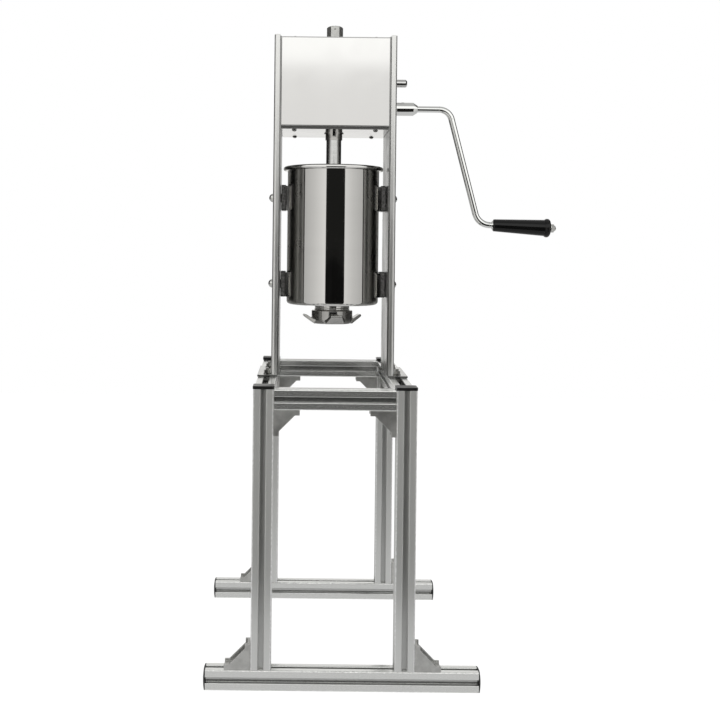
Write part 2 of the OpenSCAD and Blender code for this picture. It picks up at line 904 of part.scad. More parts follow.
module hanger_bolts() {
    color("#c9caca") at_machine() hanger_places() along_x([machine_half, 0, 0])
        rotate_extrude() polygon(domed_points(hanger_dome_d, hanger_dome_h, hanger_bolt_d,
            block_x + hanger_tap_wall + play - machine_half));
}

// A folded saddle on the cylinder, with two tongues that hook into the block
module cylinder_saddle() {
    web_x = cyl_r + saddle_gap;
    bridge_z = hanger_h / 2 - hook_notch + run;
    low = -hanger_h / 2;
    high = bridge_z + saddle_t;
    color("#8f8f8d") difference() {
        union() {
            translate([web_x, -saddle_half_w, low])
                cube([saddle_t, 2 * saddle_half_w, high - low]);
            for (y = [-saddle_half_w, saddle_half_w - saddle_t])
                translate([web_x - saddle_reach, y, low])
                    cube([saddle_reach + saddle_t, saddle_t, high - low]);
            for (y = [hook_in, -hook_out]) {
                translate([web_x, y, bridge_z])
                    cube([tongue_x + saddle_t - web_x, hook_out - hook_in, saddle_t]);
                translate([tongue_x, y, bridge_z - hook_drop])
                    cube([saddle_t, hook_out - hook_in, hook_drop + saddle_t]);
            }
        }
        translate([0, 0, -hanger_h]) cylinder(r = cyl_r, h = 2 * hanger_h, $fn = 144);
    }
}

module cylinder_saddles() { at_machine() hanger_places() cylinder_saddle(); }

// Cylinder

// Half section of the barrel, r then z: floor, rounded corner and wall
function barrel_points() =
    let (r = cyl_corner_r, t = sheet_t, w = cyl_wall, top = rim_z - lip_lead)
    concat([[neck_d / 2, cyl_z]], arc([cyl_r - r, cyl_z + r], r, -90, 0),
        [[cyl_r, top], [bore_r, top]],
        arc([bore_r - r + t, floor_z + r - t], r - t, 0, -90), [[neck_d / 2, floor_z]]);

module cylinder_barrel() {
    color("#8f8f8d") at_machine() rotate_extrude($fn = 144) {
        polygon(barrel_points());
        translate([cyl_r + lip_bead_r - lip_bead_in, rim_z - lip_bead_r]) circle(r = lip_bead_r);
    }
}

// A threaded spout with a collar under the cylinder; each thread is a ring
module outlet_neck() {
    r = neck_d / 2;
    collar_z = cyl_z - neck_collar_h;
    rings = floor((collar_z - neck_z) / thread_pitch);
    color("#a3a3a1") at_machine() rotate_extrude() polygon(concat(
        [[r - neck_wall, neck_z], [r - thread_depth, neck_z]],
        [for (k = [0:rings - 1], share = thread_shares)
            [share < 1 ? r : r - thread_depth, neck_z + (k + share) * thread_pitch]],
        [[r - thread_depth, collar_z], [r + neck_collar_w, collar_z],
         [r + neck_collar_w, cyl_z], [r, cyl_z], [r, floor_z], [r - neck_wall, floor_z]]));
}

module neck_gasket() {
    r = neck_d / 2 - die_in;
    color("#e8e6df") at_machine() translate([0, 0, gasket_z]) tube(r, r - gasket_w, gasket_t);
}

module die_plate() {
    in_r = star_r * star_in_share;
    star = [for (i = [0:2 * star_points - 1]) let (a = 180 * i / star_points,
        r = i % 2 == 0 ? star_r : in_r) [r * cos(a), r * sin(a)]];
    color("#b5b5b3") at_machine() translate([0, 0, die_z]) difference() {
        cylinder(r = neck_d / 2 - die_in, h = die_t);
        translate([0, 0, -cut]) linear_extrude(die_t + 2 * cut) polygon(star);
    }
}

// One wing: a plate that slopes up and out, narrower at its rounded tip
module wing() {
    root = nut_d / 2 - nut_foot_w - nut_bevel;
    tip_r = wing_t / 2;
    intersection() {
        rotate([90, 0, 0]) linear_extrude(wing_w, center = true) polygon(concat(
            [[root, 0], [root + nut_bevel, 0]],
            arc([wing_reach - tip_r, wing_rise - tip_r], tip_r, -45, 110),
            [[root, wing_t * sqrt(2)]]));
        linear_extrude(nut_h) polygon([
            [root, -wing_w / 2], [wing_reach, -wing_tip_w / 2],
            [wing_reach, wing_tip_w / 2], [root, wing_w / 2]]);
    }
}

module wing_nut() {
    bore = neck_d / 2 + run;
    outer = nut_d / 2;
    color("#9c9b98") at_machine() translate([0, 0, nut_z]) difference() {
        union() {
            rotate_extrude() polygon([
                [outer - nut_foot_w, 0], [outer - nut_bevel, nut_foot_h / 2],
                [outer, nut_foot_h], [outer, nut_h - nut_bevel], [outer - nut_bevel, nut_h],
                [bore - nut_bevel, nut_h], [bore - nut_bevel, 0]]);
            for (i = [0:wing_count - 1])
                rotate([0, 0, wing_turn + 360 * i / wing_count]) wing();
        }
        translate([0, 0, nut_lip_t]) cylinder(r = bore, h = nut_h);
        translate([0, 0, -cut]) cylinder(r = bore - nut_lip_w, h = nut_lip_t + 2 * cut);
    }
}

// Piston rod: a round bar with a rack cut into its rear side

rack_below = ceil((piston_travel + rack_margin) / rack_pitch);
rack_above = ceil(rack_margin / rack_pitch);

function rack_gap(zc) =
    let (half = rack_pitch / 4 + backlash_share * gear_module / 2,
         lean = tan(pressure_angle) * gear_module,
         tip = half + addendum_share * lean, root = half - dedendum_share * lean,
         tip_y = rack_y + addendum_share * gear_module,
         root_y = rack_y - dedendum_share * gear_module)
    [[tip_y, zc - tip], [root_y, zc - root], [root_y, zc + root], [tip_y, zc + tip]];

module piston_rod() {
    tip_y = rack_y + addendum_share * gear_module;
    low = drive_z - rack_below * rack_pitch - rack_pitch / 2;
    high = drive_z + rack_above * rack_pitch + rack_pitch / 2;
    comb = concat([[rod_d, low], [tip_y, low]],
        [for (k = [-rack_below:rack_above]) each rack_gap(drive_z + k * rack_pitch)],
        [[tip_y, high], [rod_d, high]]);
    color("#bcbcba") at_machine() difference() {
        rotate_extrude() polygon([
            [0, piston_z + piston_nut_room - piston_nut_h - play],
            [stud_d / 2, piston_z + piston_nut_room - piston_nut_h - play],
            [stud_d / 2, rod_z], [rod_d / 2, rod_z], [rod_d / 2, rod_top - rod_chamfer],
            [rod_d / 2 - rod_chamfer, rod_top], [stop_thread_d / 2, rod_top],
            [stop_thread_d / 2, rod_top + stop_nut_h - stop_thread_over],
            [0, rod_top + stop_nut_h - stop_thread_over]]);
        rotate([90, 0, 90]) linear_extrude(2 * rod_d, center = true) polygon(comb);
    }
}

// A tall capped hexagon with its upper edge turned off and a hole for a cross pin
module stop_nut() {
    corner = stop_nut_af / cos(30) / 2;
    color("#b9b9b7") at_machine() translate([0, 0, rod_top]) difference() {
        intersection() {
            hex(stop_nut_af, stop_nut_h);
            rotate_extrude() polygon([[0, 0], [corner, 0], [corner, stop_nut_h - stop_nut_bevel],
                [corner - 1.5 * stop_nut_bevel, stop_nut_h], [0, stop_nut_h]]);
        }
        translate([0, 0, stop_nut_h - stop_pin_drop]) rotate([90, 0, 0])
            cylinder(d = stop_pin_d, h = stop_nut_af);
        translate([0, 0, -cut]) cylinder(d = stop_thread_d + 2 * fit,
            h = stop_nut_h - stop_thread_over + fit + cut);
    }
}

module piston_disc() {
    r = bore_r - piston_play;
    groove_z = (piston_h - seal_w) / 2;
    color("#e9e7e0") at_machine() translate([0, 0, piston_z]) difference() {
        rotate_extrude($fn = 144) polygon([
            [0, 0], [r - piston_bevel, 0], [r, piston_bevel], [r, groove_z - fit],
            [r - seal_depth, groove_z - fit], [r - seal_depth, groove_z + seal_w + fit],
            [r, groove_z + seal_w + fit], [r, piston_h], [0, piston_h]]);
        difference() {
            translate([0, 0, piston_floor_t]) tube(r - piston_rim_t, piston_hub_r, piston_h);
            for (i = [0:piston_ribs - 1]) rotate([0, 0, 360 * i / piston_ribs])
                translate([0, -piston_rib_t / 2, 0]) cube([r, piston_rib_t, 2 * piston_h]);
        }
        translate([0, 0, -cut]) cylinder(d = stud_d + 2 * fit, h = piston_h + 2 * cut);
        translate([0, 0, -cut])
            cylinder(r = piston_nut_af / cos(30) / 2 + play, h = piston_nut_room - play + cut);
    }
}

module piston_seal() {
    r = bore_r - piston_play;
    z = piston_z + (piston_h - seal_w) / 2;
    color("#3a3a3c") at_machine() rotate_extrude($fn = 144) polygon([
        [r - seal_depth + fit, z], [r, z], [bore_r - run, z + seal_lip],
        [bore_r - run, z + seal_w - seal_lip], [r, z + seal_w], [r - seal_depth + fit, z + seal_w]]);
}

module piston_nut() {
    color("#b9b9b7") at_machine()
        translate([0, 0, piston_z + piston_nut_room - play - piston_nut_h]) difference() {
            hex(piston_nut_af, piston_nut_h);
            translate([0, 0, -cut]) cylinder(d = stud_d + 2 * fit, h = piston_nut_h + 2 * cut);
        }
}

// Gear shafts

clip_x = bush_face - play - clip_t;

// Half section of a shaft, r then along: a clip groove by each bush and a stepped outer end
module shaft_body(right) {
    r = shaft_r;
    g = shaft_r - clip_groove;
    end_r = stub_r;
    left = -shaft_left;
    along_x([0, 0, 0]) rotate_extrude() polygon([
        [0, left], [r - shaft_chamfer / 2, left], [r, left + shaft_chamfer / 2],
        [r, -clip_x - clip_t - fit], [g, -clip_x - clip_t - fit], [g, fit - clip_x],
        [r, fit - clip_x], [r, clip_x - fit], [g, clip_x - fit], [g, clip_x + clip_t + fit],
        [r, clip_x + clip_t + fit], [r, hub_x], [end_r, hub_x], [end_r, right - shaft_chamfer],
        [end_r - shaft_chamfer, right], [0, right]]);
}

module shaft_clips() {
    for (x = [clip_x, -clip_x - clip_t])
        along_x([x, 0, 0]) tube(shaft_r + clip_out, shaft_r - clip_groove, clip_t);
}

// A key that lies half in the shaft and half in its wheel, on the shaft's +z side
module key(length, gap) {
    translate([-length / 2, -key_w / 2 - gap, shaft_r - key_depth - gap])
        cube([length, key_w + 2 * gap, key_depth + key_rise + 2 * gap]);
}

module toothed_wheel(n, width, turn) {
    along_x([-width / 2, 0, 0]) rotate([0, 0, turn]) linear_extrude(width)
        polygon(wheel_points(n));
}

module wheel_bore(width) {
    along_x([-width, 0, 0]) cylinder(r = shaft_r + fit, h = 2 * width);
    key(2 * width, fit);
}

module at_crank() { at_machine() translate([0, shaft_y, crank_z]) children(); }
module at_drive() { at_machine() translate([0, shaft_y, drive_z]) rotate([90, 0, 0]) children(); }

hub_x = machine_half + hub_gap;

module crank_shaft() {
    color("#b2b2b0") at_crank() difference() {
        shaft_body(hub_x + hub_len - hub_wall);
        translate([large_gear_x, 0, 0]) key(crank_pinion_w, fit);
    }
}

// A tooth points straight up, at the gap of the large gear
module crank_pinion() {
    color("#8c8c88") at_crank() translate([large_gear_x, 0, 0]) difference() {
        toothed_wheel(pinion_teeth, crank_pinion_w, 180);
        wheel_bore(crank_pinion_w);
    }
}

module crank_keys_clips() {
    color("#6f6f6c") at_crank() {
        translate([large_gear_x, 0, 0]) key(crank_pinion_w, 0);
        shaft_clips();
    }
}

module drive_shaft() {
    color("#b2b2b0") at_drive() difference() {
        shaft_body(machine_half + stub_out);
        translate([large_gear_x, 0, 0]) key(large_gear_w, fit);
        key(rack_pinion_w, fit);
    }
}

// A gap points straight down, at the tooth of the crank pinion
module large_gear() {
    rim = large_pitch_r - gear_rim_t;
    side = large_gear_w / 2;
    color("#8c8c88") at_drive() translate([large_gear_x, 0, 0]) difference() {
        rotate([-90, 0, 0]) toothed_wheel(gear_teeth, large_gear_w, 180 / gear_teeth);
        wheel_bore(large_gear_w);
        for (x = [-side - cut, side - gear_web_cut])
            along_x([x, 0, 0]) tube(rim, gear_hub_r, gear_web_cut + cut);
    }
}

// A tooth points straight forwards, at a gap of the rack
module rack_pinion() {
    color("#8c8c88") at_drive() difference() {
        toothed_wheel(pinion_teeth, rack_pinion_w, 180);
        wheel_bore(rack_pinion_w);
    }
}

module drive_keys_clips() {
    color("#6f6f6c") at_drive() {
        translate([large_gear_x, 0, 0]) key(large_gear_w, 0);
        key(rack_pinion_w, 0);
        shaft_clips();
    }
}

// Crank

module crank_hub() {
    arm_r = arm_d / 2;
    color("#c4c4c2") at_crank() difference() {
        along_x([hub_x, 0, 0]) rotate_extrude() polygon([
            [0, 0], [hub_d / 2, 0], [hub_d / 2 + hub_flange, hub_bevel],
            [hub_d / 2 + hub_flange, hub_flange_len], [hub_d / 2, 2 * hub_flange_len],
            [hub_d / 2, hub_len], [arm_r + hub_bevel, hub_len + hub_cone],
            [0, hub_len + hub_cone]]);
        along_x([hub_x - cut, 0, 0]) cylinder(r = stub_r + fit, h = hub_len - hub_wall + cut + fit);
        along_x([hub_x + hub_len, 0, 0]) cylinder(r = arm_r + fit, h = hub_cone + cut);
        translate([hub_x + grub_at, 0, 0]) cylinder(d = grub_d + 2 * fit, h = hub_d);
    }
}

module crank_grub_screw() {
    grub_len = hub_d / 2 - stub_r - fit;
    color("#3c3c3c") at_crank() translate([hub_x + grub_at, 0, stub_r]) difference() {
        cylinder(d = grub_d, h = grub_len);
        translate([0, 0, grub_len - grub_socket_depth]) hex(grub_socket, grub_len);
    }
}

// A bend of the arm about a centre in the x-z plane, a hair thicker than the straight parts
module arm_bend(centre, radius, from, sweep) {
    translate([centre[0], shaft_y, centre[1]]) rotate([90, 0, 0]) rotate([0, 0, from])
        rotate_extrude(angle = sweep) translate([radius, 0]) circle(d = arm_d + fit);
}

module at_grip(along) {
    at_machine() translate([grip_base[0], shaft_y, grip_base[1]])
        rotate([0, 90 + grip_droop, 0]) translate([0, 0, along]) children();
}

module crank_arm() {
    slant_from = [bend_top_c[0] + arm_bend_top * sin(slant), bend_top_c[1] + arm_bend_top * cos(slant)];
    slant_len = norm(low_in - slant_from);
    start = hub_x + hub_len;
    color("#cfcfcd") {
        at_machine() {
            along_x([start, shaft_y, crank_z])
                cylinder(d = arm_d, h = bend_top_c[0] - start + fit);
            arm_bend(bend_top_c, arm_bend_top, 90 - slant, slant);
            translate([slant_from[0], shaft_y, slant_from[1]]) rotate([0, 90 + slant, 0])
                translate([0, 0, -fit]) cylinder(d = arm_d, h = slant_len + 2 * fit);
            arm_bend(bend_low_c, arm_bend_low, 270 - slant, droop_sweep);
        }
        at_grip(-fit) cylinder(d = arm_d, h = grip_start - play - collar_t + 2 * fit);
        at_grip(grip_start - play - collar_t) cylinder(d = collar_d, h = collar_t);
        at_grip(grip_start - play - fit) cylinder(d = spindle_d, h = crank_end - end_dome_h
            - grip_start + play + fit);
    }
}

module crank_end_nut() {
    dome_r = (pow(end_dome_d / 2, 2) + pow(end_dome_h, 2)) / (2 * end_dome_h);
    color("#c4c4c2") {
        at_grip(grip_end - end_washer_t) tube(end_washer_d / 2, spindle_d / 2 + fit, end_washer_t);
        at_grip(grip_end) difference() {
            union() {
                hex(end_nut_af, end_nut_h);
                intersection() {
                    translate([0, 0, end_nut_h]) cylinder(d = end_dome_d, h = end_dome_h);
                    translate([0, 0, end_nut_h + end_dome_h - dome_r]) sphere(r = dome_r);
                }
            }
            translate([0, 0, -cut]) cylinder(d = spindle_d + 2 * fit, h = end_nut_h + cut);
        }
    }
}

// A tapered grip that flares at its outer end
module crank_grip() {
    waist = grip_len * grip_waist_share;
    flare = grip_len * grip_flare_share;
    r = grip_small_d / 2;
    color("#161616") at_grip(grip_start) difference() {
        rotate_extrude() polygon(concat([[0, 0]],
            arc([r - grip_round, grip_round], grip_round, -90, 0),
            [[grip_waist_d / 2, waist]],
            arc([grip_d / 2 - grip_flare_r, flare], grip_flare_r, -50, 60),
            [[grip_end_d / 2, grip_len], [0, grip_len]]));
        translate([0, 0, -cut]) cylinder(d = spindle_d + 2 * run, h = grip_len + 2 * cut);
    }
}

foot_rail(-1, front_foot_shift);  // front_foot_rail
foot_rail(1, rear_foot_shift);  // rear_foot_rail
foot_rail_caps();
leg(-1, -1);  // front_left_leg
leg(1, -1);  // front_right_leg
leg(-1, 1);  // rear_left_leg
leg(1, 1);  // rear_right_leg
leg_caps();
cross_rail(-1);  // front_top_rail
cross_rail(1);  // rear_top_rail
side_rail(-1);  // left_top_rail
side_rail(1);  // right_top_rail
foot_gussets();
top_gussets();
gusset_screws();
slot_nuts();
base_plates();
base_studs();
base_nuts();
left_side_frame();
right_side_frame();
left_inner_panel();
right_inner_panel();
front_cover();
rear_cover();
top_plate();
bottom_tray();
housing_cleats();
cover_screws();
upper_rod_bush();
lower_rod_bush();
crank_shaft_bushes();
drive_shaft_bushes();
hanger_blocks();
hanger_washers();
hanger_spacers();
hanger_bolts();
cylinder_barrel();
cylinder_saddles();
outlet_neck();
neck_gasket();
die_plate();
wing_nut();
piston_rod();
stop_nut();
piston_disc();
piston_seal();
piston_nut();
crank_shaft();
crank_pinion();
crank_keys_clips();
drive_shaft();
large_gear();
rack_pinion();
drive_keys_clips();
crank_hub();
crank_grub_screw();
crank_arm();
crank_end_nut();
crank_grip();
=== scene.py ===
import json
import math

import bmesh
import bpy
from bpy.props import FloatProperty, FloatVectorProperty, IntProperty, PointerProperty
from mathutils import Matrix, Vector


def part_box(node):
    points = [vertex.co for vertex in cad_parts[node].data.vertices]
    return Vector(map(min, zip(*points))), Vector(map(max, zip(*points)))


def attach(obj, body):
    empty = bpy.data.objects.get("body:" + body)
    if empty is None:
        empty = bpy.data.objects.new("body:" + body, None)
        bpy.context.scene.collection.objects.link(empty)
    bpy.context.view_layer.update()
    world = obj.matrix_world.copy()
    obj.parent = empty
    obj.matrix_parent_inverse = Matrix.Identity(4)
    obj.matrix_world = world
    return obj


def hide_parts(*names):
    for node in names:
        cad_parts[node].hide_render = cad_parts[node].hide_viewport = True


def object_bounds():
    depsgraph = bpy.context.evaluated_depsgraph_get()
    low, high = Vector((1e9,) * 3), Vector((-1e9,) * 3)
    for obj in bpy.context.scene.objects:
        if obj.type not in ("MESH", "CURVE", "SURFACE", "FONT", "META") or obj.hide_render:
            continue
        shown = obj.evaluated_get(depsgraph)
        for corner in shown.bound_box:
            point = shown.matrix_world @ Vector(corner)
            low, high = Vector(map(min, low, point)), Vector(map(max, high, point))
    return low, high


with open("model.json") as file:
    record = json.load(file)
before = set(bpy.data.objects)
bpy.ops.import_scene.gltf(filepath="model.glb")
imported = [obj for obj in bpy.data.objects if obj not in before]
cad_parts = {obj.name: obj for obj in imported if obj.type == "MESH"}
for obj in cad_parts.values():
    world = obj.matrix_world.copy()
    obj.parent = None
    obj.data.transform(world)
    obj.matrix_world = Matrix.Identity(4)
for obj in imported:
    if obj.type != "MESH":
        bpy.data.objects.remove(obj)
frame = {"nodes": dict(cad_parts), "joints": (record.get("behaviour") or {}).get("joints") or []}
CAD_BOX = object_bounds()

bl_info = {
    "name": "Churro maker dressing",
    "version": (1, 0, 0),
    "blender": (4, 5, 0),
    "location": "View3D > Sidebar > Churro",
    "description": "Finishes, fastenings, welds and studio for a hand-cranked churro maker",
    "category": "Object",
}

NODES = frame["nodes"]
MM = 0.001
SAME_POINT = 2e-6                   # points of a CAD mesh this close are one point
FLAT_ANGLE = math.radians(0.8)      # faces that meet at less are one face
SHARP_ANGLE = math.radians(35)      # edges that bend more are rolled over
SLOT_LIP = 2.4 * MM                 # what lies deeper in a profile is inside its slot
CYLINDER_R = 76 * MM
HEX_CORNER = 0.57735                # a hexagon's corner radius over its width across flats
FULL_TURN = 6.2832


# Properties

def color(name, about, *rgb):
    """A colour property"""
    return FloatVectorProperty(name=name, description=about, subtype="COLOR", min=0, max=1,
                               default=rgb)


def length(name, about, mm):
    """A length property, its default in millimetres"""
    return FloatProperty(name=name, description=about, unit="LENGTH", default=mm * MM)


class CHURRO_PG_finish(bpy.types.PropertyGroup):
    """Colours of the machine's materials"""
    aluminium: color("Profile", "Anodised aluminium of the slotted profile", 0.70, 0.705, 0.69)
    casting: color("Casting", "Die-cast aluminium of the corner gussets", 0.50, 0.50, 0.485)
    sheet: color("Frame sheet", "Satin stainless steel of frames and plates", 0.74, 0.74, 0.725)
    polished: color("Polished steel", "Polished steel of cylinder and spout", 0.68, 0.672, 0.655)
    chrome: color("Chrome", "Plating of the crank", 0.76, 0.765, 0.75)
    black: color("Black plastic", "Moulded end caps and crank grip", 0.018, 0.018, 0.018)
    bronze: color("Bronze", "Bushes of the gear shafts", 0.60, 0.44, 0.24)
    polymer: color("White plastic", "Food-safe plastic of piston and gasket", 0.84, 0.83, 0.79)


class CHURRO_PG_hardware(bpy.types.PropertyGroup):
    """Sizes of the small parts that repeat"""
    head_d: length("Cap screw head", "Diameter of a cap screw's head", 10)
    head_h: length("Cap screw head height", "Height of a cap screw's head", 6)
    socket_w: length("Socket", "Width across the flats of the hexagon socket", 5)
    knurls: IntProperty(
        name="Knurls", description="Ridges round a cap screw's head", default=40, min=12, max=90)
    thread_pitch: length("Stud pitch", "Pitch of the studs in the base plates", 1)
    nut_w: length("Nut width", "Width across the flats of a base nut", 10)
    spout_pitch: length("Spout pitch", "Pitch of the outlet's thread", 3)
    weld_step: length("Weld ripple", "Distance between the ripples of a weld bead", 1.5)
    weld_w: length("Weld width", "Width of a weld bead", 2.4)
    bead_r: length("Lip bead", "Radius of the barrel's rolled lip", 3.8)
    wall: length("Barrel wall", "Thickness of the barrel's wall", 1.2)
    edge: length("Edge radius", "Radius of the rolled edges of castings", 0.7)


class CHURRO_PG_studio(bpy.types.PropertyGroup):
    """Camera, floor and light"""
    lens: FloatProperty(
        name="Lens", description="Focal length of the camera on a 36 mm sensor",
        unit="CAMERA", default=55.6)
    eye: FloatVectorProperty(
        name="Camera", description="Place of the camera", subtype="TRANSLATION",
        unit="LENGTH", default=(-0.1347, -1.8503, 0.6451))
    roll: FloatProperty(
        name="Roll", description="Turn of the camera about its view", unit="ROTATION",
        default=0.0109)
    level: FloatProperty(
        name="Lamp level", description="Strength of the soft lamps", unit="POWER", default=19.0)
    reach: length("Floor reach", "How far the white floor runs in front of the stand", 390)


# Node helpers

def put(tree, kind, inputs=None, **settings):
    """Adds a node, sets its options, then fills or links its inputs"""
    node = tree.nodes.new(kind)
    for key, value in settings.items():
        setattr(node, key, value)
    for key, value in (inputs or {}).items():
        for part in value if isinstance(value, list) else [value]:
            if isinstance(part, bpy.types.NodeSocket):
                tree.links.new(part, node.inputs[key])
            else:
                node.inputs[key].default_value = part
    return node


def out(tree, kind, name, inputs=None, **settings):
    """Adds a node and gives one of its outputs"""
    return put(tree, kind, inputs, **settings).outputs[name]


def geo(tree, kind, inputs, **settings):
    """Adds a geometry node and gives its first output"""
    return out(tree, "GeometryNode" + kind, 0, inputs, **settings)


def use(tree, made, inputs):
    """Adds a node group and gives its outputs"""
    return put(tree, tree.bl_idname.replace("Tree", "Group"), inputs, node_tree=made).outputs


def calc(tree, operation, *values):
    """A Math node"""
    return out(tree, "ShaderNodeMath", 0, dict(enumerate(values)), operation=operation)


def times(tree, a, b):
    """The product of two values"""
    return calc(tree, "MULTIPLY", a, b)


def blend(tree, factor, a, b):
    """Mixes two colours"""
    return out(tree, "ShaderNodeMix", 2, {0: factor, 6: a, 7: b}, data_type="RGBA")


def ease(tree, value, start, end, low=0.0, high=1.0):
    """Maps a value smoothly from one span to another"""
    return out(tree, "ShaderNodeMapRange", "Result", {
        "Value": value, "From Min": start, "From Max": end, "To Min": low, "To Max": high},
        interpolation_type="SMOOTHSTEP")


def noise(tree, place, scale, **more):
    """A noise value; further words are its other inputs"""
    return out(tree, "ShaderNodeTexNoise", "Fac", {"Vector": place, "Scale": scale, **more})


def vector(tree, **axes):
    """A vector from values for X, Y and Z"""
    return out(tree, "ShaderNodeCombineXYZ", 0, axes)


def group(name, kind, inputs, outputs):
    """Starts a node group. An input is a default value or, like an output, a socket's kind"""
    kinds = {float: "Float", int: "Int", tuple: "Vector"}
    tree = bpy.data.node_groups.new(name, kind)
    for label, given in inputs.items():
        word = given if isinstance(given, str) else kinds[type(given)]
        item = tree.interface.new_socket(label, in_out="INPUT", socket_type="NodeSocket" + word)
        if not isinstance(given, str):
            item.default_value = given
    for label, word in outputs.items():
        tree.interface.new_socket(label, in_out="OUTPUT", socket_type="NodeSocket" + word)
    return tree, tree.nodes.new("NodeGroupInput").outputs, tree.nodes.new("NodeGroupOutput")


def shared(name):
    """Builds a node group once under its name, and after that gives the one that is there"""
    def wrap(build):
        return lambda: bpy.data.node_groups.get(name) or build(name)
    return wrap


# Surface effects that several materials share

def effect(name, inputs, *outputs):
    """Starts a group that puts out values only"""
    return group(name, "ShaderNodeTree", inputs, {label: "Float" for label in outputs})


def give(tree, result, **values):
    """Links a group's results and ends it"""
    for label, value in values.items():
        tree.links.new(value, result.inputs[label])
    return tree


@shared("Drawn grain")
def drawn_grain(name):
    """Fine lines left by drawing, rolling or brushing, with slower streaks"""
    tree, given, result = effect(name, {
        "Vector": "Vector", "Stretch": (1, 1, 1), "Scale": 700.0}, "Grain", "Streak")
    along = out(tree, "ShaderNodeVectorMath", "Vector",
                {0: given["Vector"], 1: given["Stretch"]}, operation="MULTIPLY")
    fine = noise(tree, along, given["Scale"], Detail=3.0, Roughness=0.6)
    slow = noise(tree, along, times(tree, given["Scale"], 0.12), Detail=2.0)
    return give(tree, result, Grain=fine, Streak=ease(tree, slow, 0.3, 0.7))


@shared("Handling smears")
def handling(name):
    """Cloudy smears of handling and wiping, as a value between two limits"""
    tree, given, result = effect(name, {
        "Vector": "Vector", "Scale": 18.0, "Low": 0.1, "High": 0.2}, "Value")
    cloud = noise(tree, given["Vector"], given["Scale"], Detail=2.0, Roughness=0.5, Distortion=0.4)
    mask = ease(tree, cloud, 0.38, 0.68)
    return give(tree, result, Value=out(tree, "ShaderNodeMix", 0, {
        0: mask, 2: given["Low"], 3: given["High"]}))


@shared("Cast skin")
def cast_skin(name):
    """The fine orange peel of a casting or a moulding"""
    tree, given, result = effect(name, {"Vector": "Vector", "Scale": 900.0}, "Height", "Tone")
    place, scale = given["Vector"], given["Scale"]
    pits = out(tree, "ShaderNodeTexVoronoi", "Distance", {"Vector": place, "Scale": scale},
               feature="SMOOTH_F1")
    grit = noise(tree, place, times(tree, scale, 1.7), Detail=3.0)
    patch = noise(tree, place, times(tree, scale, 0.06), Detail=3.0)
    return give(tree, result, Height=times(tree, pits, grit), Tone=ease(tree, patch, 0.3, 0.7))


@shared("Rubbed edge")
def edge_wear_and_light(name):
    """Where an edge is recoloured, from the piece's own edge mask: partly rubbed wear, partly
    painted light, a painted highlight along bright edges and a painted dark outline where the edge
    colour is dark
    """
    tree, given, result = effect(name, {"Vector": "Vector", "Amount": 0.5}, "Mask")
    edge = out(tree, "ShaderNodeAttribute", "Fac", attribute_name="rub")
    edge_mottle = noise(tree, given["Vector"], 260.0, Detail=4.0, Roughness=0.7)
    wear_and_light = times(tree, edge, ease(tree, edge_mottle, 0.35, 0.65, 0.25, 1.0))
    return give(tree, result, Mask=times(tree, wear_and_light, given["Amount"]))


@shared("Slot shade")
def slot_shade(name):
    """Painted shade inside a slot, where little light gets in, mottled a little, from the piece's
    own depth mask
    """
    tree, given, result = effect(name, {"Vector": "Vector", "Amount": 0.5}, "Mask")
    deep = out(tree, "ShaderNodeAttribute", "Fac", attribute_name="deep")
    shade_mottle = noise(tree, given["Vector"], 120.0, Detail=3.0)
    # The painted shade mask: deep points, mottled between 0.85 and 1
    dull = times(tree, deep, ease(tree, shade_mottle, 0.3, 0.7, 0.85, 1.0))
    return give(tree, result, Mask=times(tree, dull, given["Amount"]))


@shared("Raw front")
def painted_front_shade(name):
    """Painted shade and painted dark reflection on every face that faces front or back: sheared
    edges and recessed flanges that lie in shadow, and nut faces
    """
    tree, given, result = effect(name, {"Amount": 0.9}, "Mask")
    facing = put(tree, "ShaderNodeSeparateXYZ", {
        0: out(tree, "ShaderNodeTexCoord", "Normal")}).outputs["Y"]
    front = ease(tree, calc(tree, "ABSOLUTE", facing), 0.8, 0.95)
    return give(tree, result, Mask=times(tree, front, given["Amount"]))


# Materials

MATERIALS = {}


def tinted(rgb, share):
    """A colour made darker or brighter by a share"""
    return tuple(min(1.0, c * share) for c in rgb[:3]) + (1.0,)


def gray(value):
    """An even gray"""
    return (value, value, value, 1)


def surface(name):
    """A new material with its shader and the piece's own coordinates"""
    made = bpy.data.materials.new(name)
    made.use_nodes = True
    tree = made.node_tree
    MATERIALS[name] = made
    return tree, tree.nodes["Principled BSDF"], out(tree, "ShaderNodeTexCoord", "Object")


def shade(tree, shader, bump=0.0, height=None, **sockets):
    """Fills the shader's sockets, and its Normal from a height in metres"""
    for key, value in sockets.items():
        socket = shader.inputs[key.replace("_", " ")]
        if isinstance(value, bpy.types.NodeSocket):
            tree.links.new(value, socket)
        else:
            socket.default_value = value
    if height is not None:
        tree.links.new(out(tree, "ShaderNodeBump", "Normal", {
            "Strength": 1.0, "Distance": bump, "Height": height}), shader.inputs["Normal"])


